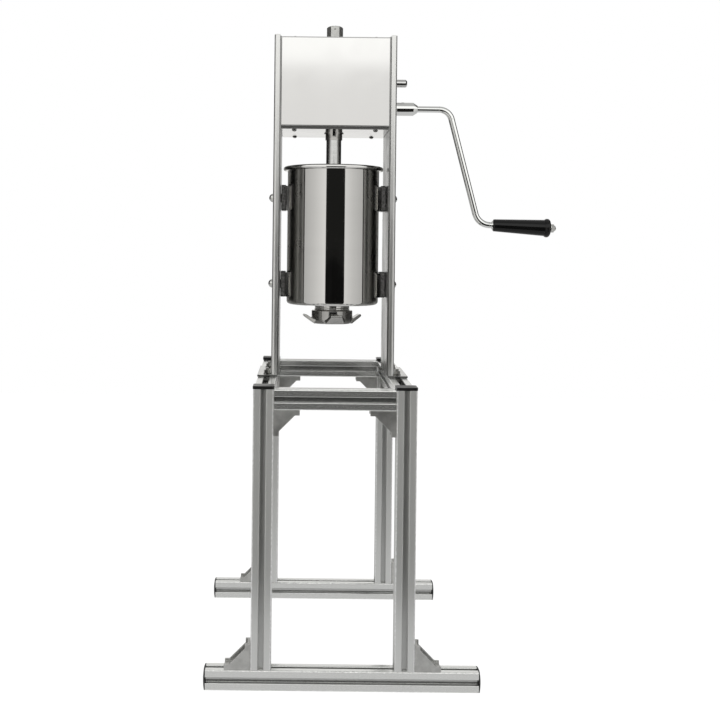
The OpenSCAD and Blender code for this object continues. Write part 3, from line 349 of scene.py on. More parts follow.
def metal(name, rgb, rough, scatter=0.06, grain=(1, 1, 1), scale=700.0, vary=0.06,
          bump=2e-6, spread=0.0, axis=None, rub=0.0, shadow=0.0, slot=0.0, dull=0.0):
    """A metal: streaky colour, grain in the surface, smears in the gloss. axis and spread
    stretch its highlights, the edge amount lightens edges with wear and a painted highlight,
    shadow and slot paint shade on what lies back"""
    tree, shader, place = surface(name)
    lines = use(tree, drawn_grain(), {"Vector": place, "Stretch": grain, "Scale": scale})
    wiped = use(tree, handling(), {
        "Vector": place, "Low": max(0.0, rough - scatter / 2), "High": rough + scatter / 2})
    tone = blend(tree, lines["Streak"], tinted(rgb, 1 - vary), tinted(rgb, 1 + vary / 2))
    # Edges lighter: partly rubbed wear, partly a painted highlight
    if rub:
        edge = use(tree, edge_wear_and_light(), {"Vector": place, "Amount": rub})
        tone = blend(tree, edge["Mask"], tone, tinted(rgb, 1.4))
    # Painted shade inside the slots, a tenth of the colour
    if slot:
        inside = use(tree, slot_shade(), {"Vector": place, "Amount": slot})
        tone = blend(tree, inside["Mask"], tone, tinted(rgb, 0.1))
    # Painted shade, near black, on faces that face front or back
    if shadow:
        tone = blend(tree, use(tree, painted_front_shade(), {"Amount": shadow})["Mask"], tone,
                     (0.012, 0.012, 0.011, 1))
    shade(tree, shader, bump, lines["Grain"], Base_Color=tone, Metallic=1.0 - dull,
          Roughness=wiped["Value"])
    if axis:
        shader.inputs["Anisotropic"].default_value = spread
        tree.links.new(out(tree, "ShaderNodeTangent", "Tangent", direction_type="RADIAL",
                           axis=axis), shader.inputs["Tangent"])


def moulded(name, rgb, rough, gloss=0.5, scale=1100.0, bump=2e-5, rub=0.0, metallic=0.0,
            patch=0.1, tip=None):
    """A moulded or cast surface: fine skin, patchy tone, edges turned to the tip colour, lighter
    as rubbed wear by default and a painted dark outline where the tip is dark
    """
    tree, shader, place = surface(name)
    skin = use(tree, cast_skin(), {"Vector": place, "Scale": scale})
    wiped = use(tree, handling(), {
        "Vector": place, "Low": max(0.0, rough - 0.06), "High": rough + 0.08})
    tone = blend(tree, skin["Tone"], tinted(rgb, 1 - patch), tinted(rgb, 1 + patch))
    # Edges toward the tip colour: rubbed wear when lighter, a painted dark outline when the tip is
    # dark
    if rub:
        edge = use(tree, edge_wear_and_light(), {"Vector": place, "Amount": rub})
        wear_and_light = tip or tuple(c + (1 - c) * 0.25 for c in rgb[:3]) + (1.0,)
        tone = blend(tree, edge["Mask"], tone, wear_and_light)
    shade(tree, shader, bump, skin["Height"], Base_Color=tone, Metallic=metallic,
          Roughness=wiped["Value"], Specular_IOR_Level=gloss)


def make_materials(colors):
    """Every material of the machine. The profile has one for each way that it runs, its colour a
    little darker on the side rails and lighter on the legs as painted shade and light
    """
    along_x, along_y, along_z = (0.02, 1, 1), (1, 0.02, 1), (1, 1, 0.004)
    # The colour share per run is painted shade and light; slot paints shade inside the slots; the
    # edge amount paints a highlight on the lips
    for axis, grain, share, rough, spread, slot, dull in (
            ("X", (0.002, 1, 1), 0.98, 0.15, 0.5, 0.3, 0.16),
            ("Y", (1, 0.002, 1), 0.85, 0.22, 0.6, 0.8, 0.1),
            ("Z", (1, 1, 0.002), 1.05, 0.42, 0.8, 0.12, 0.0)):
        metal("Anodised profile " + axis, tinted(colors.aluminium, share), rough, scatter=0.01,
              grain=grain, scale=500.0, vary=0.02, bump=2e-8, spread=spread, axis=axis,
              rub=1.0, slot=slot, dull=dull)
    moulded("Die-cast gusset", colors.casting, 0.42, metallic=1.0, scale=1500.0, bump=4e-5,
            rub=0.5)
    moulded("Black cap", tinted(colors.black, 0.5), 0.34, gloss=0.2, rub=0.1)
    # The near-black tip paints a dark outline along the block's edges
    moulded("Hanger nylon", (0.12, 0.118, 0.115), 0.35, scale=4500.0, rub=1.0, patch=0.55,
            tip=gray(0.006))
    metal("Zinc-plated steel", (0.58, 0.58, 0.56), 0.16, vary=0.12, scale=1500.0)
    # Painted shade, near black, on the faces that face front or back
    metal("Zinc-plated nut", (0.48, 0.48, 0.46), 0.13, vary=0.12, scale=1500.0, shadow=0.95)
    metal("Satin nut steel", (0.60, 0.60, 0.58), 0.42, vary=0.08, scale=900.0)
    metal("Satin frame sheet", colors.sheet, 0.32, scatter=0.03, grain=along_z,
          scale=1100.0, vary=0.02, bump=0.0, spread=0.5, axis="Z")
    # A little painted shade on the faces that face front or back
    metal("Inner panel sheet", tinted(colors.sheet, 0.6), 0.3, grain=along_z,
          scale=1100.0, vary=0.03, bump=3e-7, shadow=0.2)
    # Painted shade on the faces that face front or back; edges lighter with wear and a painted
    # highlight
    metal("Satin base plate", tinted(colors.sheet, 0.66), 0.26, grain=along_y,
          scale=1100.0, bump=5e-7, rub=0.3, shadow=0.6)
    metal("Polished cover sheet", (0.73, 0.725, 0.715), 0.07, scatter=0.03,
          grain=(1, 0.02, 0.02), scale=300.0, vary=0.006, bump=3e-7)
    # Painted shade on the faces that face front or back, for the dark recess under the cover
    metal("Tray sheet", (0.61, 0.605, 0.595), 0.14, scatter=0.04, grain=along_x,
          scale=900.0, vary=0.02, bump=1e-6, shadow=0.9)
    metal("Polished cylinder steel", colors.polished, 0.045, scatter=0.03,
          grain=(0.05, 0.05, 1), scale=400.0, vary=0.012, bump=1.5e-7)
    metal("Welded saddle steel", tinted(colors.polished, 0.6), 0.17, scatter=0.14,
          vary=0.3, scale=300.0, bump=4e-6, rub=0.3)
    metal("Weld bead", (0.60, 0.58, 0.54), 0.16, scatter=0.12, vary=0.3, scale=400.0)
    metal("Cast wing nut", (0.43, 0.425, 0.41), 0.1, scatter=0.12, scale=260.0, vary=0.12,
          bump=2e-5, rub=0.4)
    metal("Turned bush steel", (0.56, 0.55, 0.53), 0.1, grain=(0.04, 0.04, 1), scale=900.0,
          vary=0.1, bump=1e-6)
    metal("Ground rod steel", (0.70, 0.70, 0.69), 0.085, scatter=0.04, grain=(0.03, 0.03, 1),
          scale=1200.0, bump=5e-7)
    metal("Cut gear steel", (0.36, 0.355, 0.34), 0.3, vary=0.2, scale=500.0, bump=6e-6)
    metal("Shaft steel", (0.62, 0.62, 0.61), 0.12, grain=(1, 0.05, 0.05), scale=1200.0)
    metal("Plated crank", colors.chrome, 0.05, scatter=0.03, scale=120.0, vary=0.02, bump=3e-7)
    metal("Bronze bush", colors.bronze, 0.3, vary=0.12, scale=600.0)
    moulded("Grip plastic", tinted(colors.black, 0.25), 0.1, gloss=0.26, scale=500.0, bump=1e-6)
    moulded("White polymer", colors.polymer, 0.45, scale=500.0, bump=1e-5)
    moulded("Seal rubber", (0.05, 0.05, 0.052), 0.6, scale=900.0)


FINISH = {
    "Anodised profile X": ("front_foot_rail", "rear_foot_rail", "front_top_rail",
                           "rear_top_rail"),
    "Anodised profile Y": ("left_top_rail", "right_top_rail"),
    "Anodised profile Z": ("front_left_leg", "front_right_leg", "rear_left_leg",
                           "rear_right_leg"),
    "Die-cast gusset": ("foot_gussets", "top_gussets"),
    "Black cap": ("foot_rail_caps", "leg_caps"),
    "Hanger nylon": ("hanger_blocks", "hanger_washers"),
    "Zinc-plated steel": ("gusset_screws", "slot_nuts", "base_studs", "base_nuts",
                          "cover_screws", "hanger_bolts", "hanger_spacers"),
    "Satin frame sheet": ("left_side_frame", "right_side_frame", "housing_cleats"),
    "Inner panel sheet": ("left_inner_panel", "right_inner_panel"),
    "Satin base plate": ("base_plates",),
    "Polished cover sheet": ("front_cover", "rear_cover", "top_plate"),
    "Tray sheet": ("bottom_tray",),
    "Polished cylinder steel": ("cylinder_barrel", "outlet_neck", "die_plate"),
    "Welded saddle steel": ("cylinder_saddles",),
    "Cast wing nut": ("wing_nut",),
    "Turned bush steel": ("upper_rod_bush", "lower_rod_bush"),
    "Satin nut steel": ("stop_nut", "crank_end_nut"),
    "Ground rod steel": ("piston_rod", "piston_nut"),
    "Cut gear steel": ("crank_pinion", "large_gear", "rack_pinion", "crank_keys_clips",
                       "drive_keys_clips", "crank_grub_screw"),
    "Shaft steel": ("crank_shaft", "drive_shaft"),
    "Plated crank": ("crank_hub", "crank_arm"),
    "Bronze bush": ("crank_shaft_bushes", "drive_shaft_bushes"),
    "Grip plastic": ("crank_grip",),
    "White polymer": ("piston_disc", "neck_gasket"),
    "Seal rubber": ("piston_seal",),
}


# Pieces

def add_piece(name, mesh, body, slot, *replaced):
    """Puts a finished mesh in the scene, on its body"""
    piece = bpy.data.objects.new(name, mesh)
    bpy.context.scene.collection.objects.link(piece)
    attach(piece, body)
    if replaced:
        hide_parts(*replaced)


def cad_skin(node):
    """A copy of a CAD node's mesh with its seams closed"""
    skin = bmesh.new()
    skin.from_mesh(NODES[node].data)
    bmesh.ops.remove_doubles(skin, verts=skin.verts, dist=SAME_POINT)
    return skin


def merged(name, node):
    """A CAD node's mesh again, as one skin of large faces"""
    skin = cad_skin(node)
    bmesh.ops.dissolve_limit(skin, angle_limit=FLAT_ANGLE, verts=skin.verts, edges=skin.edges)
    mesh = bpy.data.meshes.new(name)
    skin.to_mesh(mesh)
    skin.free()
    return mesh


def evaluated(name, mesh, *modifiers):
    """Applies modifiers, each (type, settings), to a mesh and gives the result"""
    carrier = bpy.data.objects.new(name + "_carrier", mesh)
    bpy.context.scene.collection.objects.link(carrier)
    for kind, settings in modifiers:
        modifier = carrier.modifiers.new(kind.title(), kind)
        for key, value in settings.items():
            if key.startswith("socket:"):
                modifier[key[7:]] = value
            else:
                setattr(modifier, key, value)
    graph = bpy.context.evaluated_depsgraph_get()
    result = bpy.data.meshes.new_from_object(carrier.evaluated_get(graph))
    carrier.modifiers.clear()
    bpy.data.objects.remove(carrier)
    if not result.polygons:
        raise RuntimeError(name + " came out empty")
    result.name = name
    return result


def coat(mesh, finish):
    """Gives a mesh one material only"""
    mesh.materials.clear()
    mesh.materials.append(MATERIALS[finish])
    return mesh


def mark_edges(mesh, width):
    """Marks the points that lie inside a rolled edge, for edge wear and the painted edge highlight
    and outline
    """
    skin = bmesh.new()
    skin.from_mesh(mesh)
    narrow = {f.index: f.calc_area() < 0.45 * width * f.calc_perimeter() for f in skin.faces}
    rub = [float(all(narrow[f.index] for f in v.link_faces)) for v in skin.verts]
    skin.free()
    mesh.attributes.new("rub", "FLOAT", "POINT").data.foreach_set("value", rub)


def mark_depth(mesh, shallow):
    """Marks the points that lie deeper than the lips of a profile's slots"""
    low, high = corners([v.co for v in mesh.vertices])
    size = high - low
    across = [a for a in range(3) if size[a] < max(size)]
    deep = [float(min(min(v.co[a] - low[a], high[a] - v.co[a]) for a in across) > shallow)
            for v in mesh.vertices]
    mesh.attributes.new("deep", "FLOAT", "POINT").data.foreach_set("value", deep)


def rolled(name, node, width, body, slot, finish):
    """A CAD node again with its sharp edges rolled over"""
    mesh = merged(name, node)
    for layer in [a for a in mesh.attributes if a.name == "custom_normal"]:
        mesh.attributes.remove(layer)
    mesh.shade_smooth()
    mesh = evaluated(name, mesh, ("BEVEL", {
        "width": width, "segments": 2, "limit_method": "ANGLE",
        "angle_limit": SHARP_ANGLE, "use_clamp_overlap": False}),
        ("WEIGHTED_NORMAL", {"weight": 100, "keep_sharp": True}))
    mark_edges(mesh, width)
    if slot == "profile":
        mark_depth(mesh, SLOT_LIP)
    add_piece(name, coat(mesh, finish), body, slot, node)


def roll(context, word, share, nodes, body, slot, finish):
    """Ends an operator that rolls the edges of CAD nodes by a share of the edge radius"""
    for node in nodes:
        rolled(node + word, node, share * context.scene.churro_hardware.edge, body, slot, finish)
    return {"FINISHED"}


def islands(node):
    """The separate solids of a CAD node, each as a list of its points, in a fixed order"""
    skin = cad_skin(node)
    seen, found = set(), []
    for start in skin.verts:
        stack, part = [] if start in seen else [start], []
        seen.add(start)
        while stack:
            vert = stack.pop()
            part.append(vert.co.copy())
            for other in (edge.other_vert(vert) for edge in vert.link_edges):
                if other not in seen:
                    seen.add(other)
                    stack.append(other)
        if part:
            found.append(part)
    skin.free()
    return found


def corners(points):
    """The lowest and the highest corner of the points' box"""
    return (Vector(min(p[i] for p in points) for i in range(3)),
            Vector(max(p[i] for p in points) for i in range(3)))


def seats(node, head):
    """Where each screw of a node sits: the top of its head and the way the head faces"""
    found = []
    for points in islands(node):
        low, high = corners(points)
        size, middle = high - low, (low + high) / 2
        axis = max(range(3), key=lambda i: size[i])
        aim = Vector((0, 0, 0))
        aim[axis] = 1.0
        wide = [p for p in points
                if ((p - middle) - aim * (p - middle).dot(aim)).length > 0.4 * head]
        aim *= 1.0 if sum(p[axis] for p in wide) / len(wide) > middle[axis] else -1.0
        found.append((middle + aim * size[axis] / 2, aim))
    return found


def point_cloud(name, places):
    """A mesh of loose points that each carry the way they face"""
    mesh = bpy.data.meshes.new(name)
    mesh.from_pydata([p for p, _ in places], [], [])
    layer = mesh.attributes.new("aim", "FLOAT_VECTOR", "POINT")
    for item, (_, aim) in zip(layer.data, places):
        item.vector = aim
    return mesh


def grown(name, tree, mesh, finish, values):
    """Runs a geometry node tree on a mesh, its inputs given by name"""
    names = {item.name: item.identifier for item in tree.interface.items_tree
             if item.item_type == "SOCKET" and item.in_out == "INPUT"}
    settings = {"node_group": tree, "socket:" + names["Material"]: MATERIALS[finish]}
    settings.update({"socket:" + names[key]: value for key, value in values.items()})
    made = evaluated(name, mesh, ("NODES", settings))
    skin = bmesh.new()
    skin.from_mesh(made)
    bmesh.ops.recalc_face_normals(skin, faces=skin.faces)
    skin.to_mesh(made)
    skin.free()
    return made


# Geometry node trees

def start_tree(name, inputs):
    """A geometry tree with Geometry in and out and the named inputs between"""
    return group(name, "GeometryNodeTree", {
        "Geometry": "Geometry", **inputs, "Material": "Material"}, {"Geometry": "Geometry"})


def end_tree(tree, given, result, geometry, smooth_angle=0.6):
    """Realises what was made, shades it and sets its material"""
    real = geo(tree, "RealizeInstances", {"Geometry": geometry})
    angle = out(tree, "GeometryNodeInputMeshEdgeAngle", "Unsigned Angle")
    soft = out(tree, "FunctionNodeCompare", "Result", {0: angle, 1: smooth_angle},
               data_type="FLOAT", operation="LESS_THAN")
    shaded = geo(tree, "SetShadeSmooth", {"Geometry": real}, domain="FACE")
    edged = geo(tree, "SetShadeSmooth", {"Geometry": shaded, "Shade Smooth": soft}, domain="EDGE")
    return give(tree, result, Geometry=geo(tree, "SetMaterial", {
        "Geometry": edged, "Material": given["Material"]}))


def moved(tree, geometry, **how):
    """Transforms a geometry by Translation, Rotation or Scale"""
    return geo(tree, "Transform", {"Geometry": geometry, **how})


def joined(tree, *parts):
    """Joins geometries without uniting them"""
    return geo(tree, "JoinGeometry", {"Geometry": list(parts)})


def boolean(tree, operation, *meshes, base=None):
    """Unites or intersects solids, or takes them from a base"""
    first = {} if base is None else {"Mesh 1": base}
    return geo(tree, "MeshBoolean", {**first, "Mesh 2": list(meshes)},
               operation=operation, solver="EXACT")


def scatter(tree, given, instance, seed):
    """Puts an instance on each point, turned to face the point's way and spun at random"""
    aim = out(tree, "GeometryNodeInputNamedAttribute", "Attribute", {"Name": "aim"},
              data_type="FLOAT_VECTOR")
    facing = out(tree, "FunctionNodeAlignRotationToVector", 0, {"Vector": aim}, axis="Z")
    spin = out(tree, "FunctionNodeRandomValue", 1, {2: 0.0, 3: FULL_TURN, "Seed": seed},
               data_type="FLOAT")
    own = out(tree, "FunctionNodeAxisAngleToRotation", 0, {"Axis": (0, 0, 1), "Angle": spin})
    turned_to = out(tree, "FunctionNodeRotateRotation", 0, {
        "Rotation": facing, "Rotate By": own}, rotation_space="LOCAL")
    return geo(tree, "InstanceOnPoints", {
        "Points": given["Geometry"], "Instance": instance, "Rotation": turned_to})


def rod(tree, radius, depth, middle, sides=32, top=None):
    """A closed cylinder or cone along z with its middle at a height"""
    if top is None:
        made = geo(tree, "MeshCylinder", {"Vertices": sides, "Radius": radius, "Depth": depth})
        base = middle
    else:
        made = geo(tree, "MeshCone", {
            "Vertices": sides, "Radius Top": top, "Radius Bottom": radius, "Depth": depth})
        base = calc(tree, "SUBTRACT", middle, times(tree, depth, 0.5))
    return moved(tree, made, Translation=vector(tree, Z=base))


def hung(tree, diameter, depth, above, sides):
    """A cylinder that hangs down from a given depth under the origin"""
    middle = calc(tree, "SUBTRACT", times(tree, depth, -0.5), above)
    return rod(tree, times(tree, diameter, 0.5), depth, middle, sides)


def cap_screw_tree():
    """Cap screws with knurled heads, measured down from the head's top"""
    tree, given, result = start_tree("Cap screws", {
        "Head diameter": 0.01, "Head height": 0.006, "Socket width": 0.005, "Knurls": 40,
        "Shank diameter": 0.006, "Shank length": 0.011})
    knurl_root, body_share, crown_share, crown_top = 0.955, 0.86, 0.16, 0.86
    radius, height = times(tree, given["Head diameter"], 0.5), given["Head height"]
    root = times(tree, radius, knurl_root)
    star = geo(tree, "CurveStar", {
        "Points": given["Knurls"], "Inner Radius": root, "Outer Radius": radius})
    face = geo(tree, "FillCurve", {"Curve": star})
    raised = geo(tree, "ExtrudeMesh", {
        "Mesh": face, "Offset": (0, 0, 1), "Offset Scale": times(tree, height, body_share),
        "Individual": False})
    floor = geo(tree, "FlipFaces", {"Mesh": face})
    knurled = geo(tree, "MergeByDistance", {
        "Geometry": joined(tree, raised, floor), "Distance": 1e-6})
    sunk = moved(tree, knurled, Translation=vector(tree, Z=times(tree, height, -1.0)))
    crown = rod(tree, root, times(tree, height, crown_share),
                times(tree, height, -crown_share / 2), 40, times(tree, radius, crown_top))
    head = boolean(tree, "UNION", sunk, crown)
    pocket = rod(tree, times(tree, given["Socket width"], HEX_CORNER), height, 0.0, 6)
    holed = boolean(tree, "DIFFERENCE", pocket, base=head)
    shank = hung(tree, given["Shank diameter"], given["Shank length"], height, 24)
    whole = joined(tree, holed, shank)
    return end_tree(tree, given, result, scatter(tree, given, whole, 3))


def slot_screw_tree():
    """Domed screws with a driver slot, measured down from the dome's top"""
    tree, given, result = start_tree("Slotted screws", {
        "Head diameter": 0.0076, "Head height": 0.0028, "Slot width": 0.001,
        "Shank diameter": 0.004, "Shank length": 0.008})
    tool_share, slot_reach, slot_depth = 1.2, 3.0, 0.9
    radius, height = times(tree, given["Head diameter"], 0.5), given["Head height"]
    ball = geo(tree, "MeshUVSphere", {"Segments": 40, "Rings": 24, "Radius": 1.0})
    dome = moved(tree, ball, Translation=vector(tree, Z=times(tree, height, -1.0)),
                 Scale=vector(tree, X=radius, Y=radius, Z=height))
    keep = rod(tree, times(tree, radius, tool_share), height, times(tree, height, -0.5), 32)
    half = boolean(tree, "INTERSECT", dome, keep)
    groove = geo(tree, "MeshCube", {"Size": vector(
        tree, X=times(tree, radius, slot_reach), Y=given["Slot width"],
        Z=times(tree, height, slot_depth))})
    cut = boolean(tree, "DIFFERENCE", groove, base=half)
    shank = hung(tree, given["Shank diameter"], given["Shank length"], height, 20)
    whole = joined(tree, cut, shank)
    return end_tree(tree, given, result, scatter(tree, given, whole, 5))


def thread_coil(tree, radius, pitch, height, depth):
    """A thread wound on a cylinder, from z = 0 up"""
    ridge_share = 0.34
    coil = geo(tree, "CurveSpiral", {
        "Resolution": 40, "Rotations": calc(tree, "DIVIDE", height, pitch),
        "Start Radius": radius, "End Radius": radius, "Height": height})
    ridge = geo(tree, "CurvePrimitiveCircle", {"Resolution": 6, "Radius": 1.0})
    shaped = moved(tree, ridge, Scale=vector(tree, X=depth, Y=times(tree, pitch, ridge_share),
                                            Z=1.0))
    upright = geo(tree, "SetCurveNormal", {"Curve": coil}, mode="Z_UP")
    return geo(tree, "CurveToMesh", {"Curve": upright, "Profile Curve": shaped, "Fill Caps": True})


def stud_tree():
    """Threaded studs with a washer and a chamfered nut, measured down from the stud's top"""
    tree, given, result = start_tree("Studs with nuts", {
        "Stud diameter": 0.006, "Stud length": 0.02, "Pitch": 0.001, "Nut width": 0.01,
        "Nut height": 0.005, "Stud over": 0.003, "Washer diameter": 0.012,
        "Washer thickness": 0.0015})
    # Shares of the pitch, of the stud's length, and of the nut's width and height
    root, crest, wound_share, wound_foot, bevel, slope = 0.5, 0.45, 0.94, -0.97, 0.485, 1.8
    tall, pitch = given["Stud length"], given["Pitch"]
    radius = times(tree, given["Stud diameter"], 0.5)
    inner = calc(tree, "SUBTRACT", radius, times(tree, pitch, root))
    core = rod(tree, inner, tall, times(tree, tall, -0.5), 24)
    wound = thread_coil(tree, inner, pitch, times(tree, tall, wound_share),
                        times(tree, pitch, crest))
    thread = moved(tree, wound, Translation=vector(tree, Z=times(tree, tall, wound_foot)))
    nut_h, over = given["Nut height"], given["Stud over"]
    middle = calc(tree, "SUBTRACT", times(tree, nut_h, -0.5), over)
    prism = rod(tree, times(tree, given["Nut width"], HEX_CORNER), nut_h, middle, 6)
    top_r = times(tree, given["Nut width"], bevel)
    chamfer = rod(tree, calc(tree, "ADD", top_r, times(tree, nut_h, slope)), nut_h, middle, 48,
                  top_r)
    nut = boolean(tree, "INTERSECT", prism, chamfer)
    washer = hung(tree, given["Washer diameter"], given["Washer thickness"],
                  calc(tree, "ADD", over, nut_h), 48)
    whole = joined(tree, core, thread, nut, washer)
    return end_tree(tree, given, result, scatter(tree, given, whole, 7))


def weld_tree():
    """A rippled weld bead along the edges of a wire mesh"""
    tree, given, result = start_tree("Weld beads", {"Ripple": 0.0015, "Width": 0.0024, "Seed": 11})
    # A ripple's least and greatest half width, its length and its height, as shares
    slim, broad, along, rise = 0.42, 0.58, 0.8, 0.62
    line = geo(tree, "MeshToCurve", {"Mesh": given["Geometry"]})
    even = geo(tree, "ResampleCurve", {"Curve": line, "Length": given["Ripple"]}, mode="LENGTH")
    drop = geo(tree, "MeshIcoSphere", {"Radius": 1.0, "Subdivisions": 2})
    heading = out(tree, "FunctionNodeAlignRotationToVector", 0, {
        "Vector": out(tree, "GeometryNodeInputTangent", 0)}, axis="X")
    swell = out(tree, "FunctionNodeRandomValue", 1, {2: slim, 3: broad, "Seed": given["Seed"]},
                data_type="FLOAT")
    half = times(tree, given["Width"], swell)
    size = vector(tree, X=times(tree, given["Ripple"], along), Y=half, Z=times(tree, half, rise))
    beads = geo(tree, "InstanceOnPoints", {
        "Points": even, "Instance": drop, "Rotation": heading, "Scale": size})
    return end_tree(tree, given, result, beads, 3.2)


def spout_tree():
    """A turned body joined with the thread wound on it"""
    tree, given, result = start_tree("Threaded spout", {
        "Radius": 0.0287, "Pitch": 0.003, "Length": 0.018, "Depth": 0.0008,
        "Foot": (0, 0, 0)})
    coil = thread_coil(tree, given["Radius"], given["Pitch"], given["Length"], given["Depth"])
    placed = moved(tree, coil, Translation=given["Foot"])
    return end_tree(tree, given, result, joined(tree, given["Geometry"], placed))


@shared("Turned part")
def turned_tree(name):
    """A turned part: a half section with softened corners, spun round an axis, with an
    optional mould seam along it"""
    tree, given, result = start_tree(name, {
        "Softness": 0.0004, "Segments": 160, "Guide radius": 0.05, "Axis": (0, 0, 1),
        "Foot": (0, 0, 0), "Seam height": 0.0, "Seam turn": 0.0})
    seam_half = 0.02                # radians
    guide = given["Guide radius"]
    line = geo(tree, "MeshToCurve", {"Mesh": given["Geometry"]})
    soft = geo(tree, "FilletCurve", {
        "Curve": line, "Count": 4, "Radius": given["Softness"], "Limit Radius": True},
        mode="POLY")
    section = moved(tree, soft, Translation=vector(tree, X=times(tree, guide, -1.0)),
                    Rotation=(math.pi, 0, 0))
    ring = geo(tree, "CurvePrimitiveCircle", {"Resolution": given["Segments"], "Radius": guide})
    spun = geo(tree, "CurveToMesh", {"Curve": ring, "Profile Curve": section})
    where = out(tree, "GeometryNodeInputPosition", 0)
    axes = put(tree, "ShaderNodeSeparateXYZ", {0: where}).outputs
    turn = calc(tree, "ARCTAN2", axes["Y"], axes["X"])
    off = calc(tree, "ABSOLUTE", calc(tree, "SUBTRACT", turn, given["Seam turn"]))
    near = calc(tree, "LESS_THAN", calc(tree, "PINGPONG", off, math.pi / 2), seam_half)
    flat = out(tree, "ShaderNodeVectorMath", "Vector", {0: where, 1: (1, 1, 0)},
               operation="MULTIPLY")
    away = out(tree, "ShaderNodeVectorMath", "Vector", {0: flat}, operation="NORMALIZE")
    lift = out(tree, "ShaderNodeVectorMath", "Vector", {
        0: away, "Scale": times(tree, near, given["Seam height"])}, operation="SCALE")
    seamed = geo(tree, "SetPosition", {"Geometry": spun, "Offset": lift})
    facing = out(tree, "FunctionNodeAlignRotationToVector", 0, {"Vector": given["Axis"]}, axis="Z")
    placed = moved(tree, seamed, Translation=given["Foot"], Rotation=facing)
    return end_tree(tree, given, result, placed)


def turned(name, section, finish, axis=(0, 0, 1), foot=(0, 0, 0), **extra):
    """A turned part from its half section, a closed loop of (radius, height) points"""
    loop = bpy.data.meshes.new(name + "_section")
    count = len(section)
    loop.from_pydata([(r, h, 0) for r, h in section],
                     [(i, (i + 1) % count) for i in range(count)], [])
    values = {"Softness": 0.4 * MM, "Segments": 160, "Guide radius": 50 * MM,
              "Axis": tuple(axis), "Foot": tuple(foot)}
    values.update({key.replace("_", " "): value for key, value in extra.items()})
    return grown(name, turned_tree(), loop, finish, values)


def bend(middle, radius, start, end, steps=10):
    """Points along an arc, angles in degrees"""
    return [(middle[0] + radius * math.cos(math.radians(start + (end - start) * i / steps)),
             middle[1] + radius * math.sin(math.radians(start + (end - start) * i / steps)))
            for i in range(steps + 1)]


# Operators

class CHURRO_OT_finishes(bpy.types.Operator):
    """Make every material and lay it on the machine's own parts"""
    bl_idname = "churro.finishes"
    bl_label = "Finishes"

    def execute(self, context):
        make_materials(context.scene.churro_finish)
        for finish, nodes in FINISH.items():
            for node in nodes:
                data = NODES[node].data
                if not data.materials:
                    data.materials.append(MATERIALS[finish])
                for slot in NODES[node].material_slots:
                    slot.material = MATERIALS[finish]
        return {"FINISHED"}


class CHURRO_OT_profiles(bpy.types.Operator):
    """Round the lips and slot edges of the stand's profile"""
    bl_idname = "churro.profiles"
    bl_label = "Slotted profile"

    def execute(self, context):
        for finish in ("Anodised profile X", "Anodised profile Y", "Anodised profile Z"):
            roll(context, "_drawn", 0.85, FINISH[finish], "stand", "profile", finish)
        return {"FINISHED"}


class CHURRO_OT_gussets(bpy.types.Operator):
    """Cast the corner gussets with soft edges"""
    bl_idname = "churro.gussets"
    bl_label = "Corner gussets"

    def execute(self, context):
        return roll(context, "_cast", 1.0, ("foot_gussets", "top_gussets"), "stand",
                    "cast_aluminium", "Die-cast gusset")


class CHURRO_OT_caps(bpy.types.Operator):
    """Round the edges of the plastic end caps of legs and foot rails"""
    bl_idname = "churro.caps"
    bl_label = "End caps"

    def execute(self, context):
        return roll(context, "_moulded", 0.9, ("leg_caps", "foot_rail_caps"), "stand",
                    "black_cap", "Black cap")


class CHURRO_OT_plates(bpy.types.Operator):
    """Break the edges of the two base plates"""
    bl_idname = "churro.plates"
    bl_label = "Base plates"

    def execute(self, context):
        return roll(context, "_deburred", 0.4, ("base_plates",), "stand", "frame_sheet",
                    "Satin base plate")


class CHURRO_OT_sheets(bpy.types.Operator):
    """Roll the sharp edges of the frame, cover and tray sheets"""
    bl_idname = "churro.sheets"
    bl_label = "Frame and cover sheets"

    def execute(self, context):
        for nodes, share, slot, finish in (
                (("left_side_frame", "right_side_frame"), 0.9, "frame_sheet",
                 "Satin frame sheet"),
                (("front_cover", "rear_cover"), 0.8, "cover_sheet", "Polished cover sheet"),
                (("bottom_tray",), 0.8, "cover_sheet", "Tray sheet")):
            roll(context, "_folded", share, nodes, "stand", slot, finish)
        return {"FINISHED"}


class CHURRO_OT_hangers(bpy.types.Operator):
    """Round the edges of the moulded hanger blocks"""
    bl_idname = "churro.hangers"
    bl_label = "Hanger blocks"

    def execute(self, context):
        return roll(context, "_moulded", 1.4, ("hanger_blocks",), "stand", "hanger_plastic",
                    "Hanger nylon")


class CHURRO_OT_saddles(bpy.types.Operator):
    """Break the edges of the cylinder's hooked saddles"""
    bl_idname = "churro.saddles"
    bl_label = "Saddles"

    def execute(self, context):
        edge = context.scene.churro_hardware.edge
        rolled("saddles_deburred", "cylinder_saddles", 0.3 * edge, "tank", "cylinder_steel",
               "Welded saddle steel")
        return {"FINISHED"}


class CHURRO_OT_stop_nut(bpy.types.Operator):
    """Break the edges of the tall stop nut on the toothed rod"""
    bl_idname = "churro.stop_nut"
    bl_label = "Stop nut"

    def execute(self, context):
        return roll(context, "_faced", 0.6, ("stop_nut",), "rod", "rod_steel", "Satin nut steel")


class CHURRO_OT_crank(bpy.types.Operator):
    """Round the edges of the crank's arm and hub"""
    bl_idname = "churro.crank"
    bl_label = "Crank"

    def execute(self, context):
        edge = context.scene.churro_hardware.edge
        rolled("arm_bent", "crank_arm", 0.5 * edge, "crank", "crank_chrome", "Plated crank")
        rolled("hub_turned", "crank_hub", 0.6 * edge, "crank", "crank_chrome", "Plated crank")
        return {"FINISHED"}


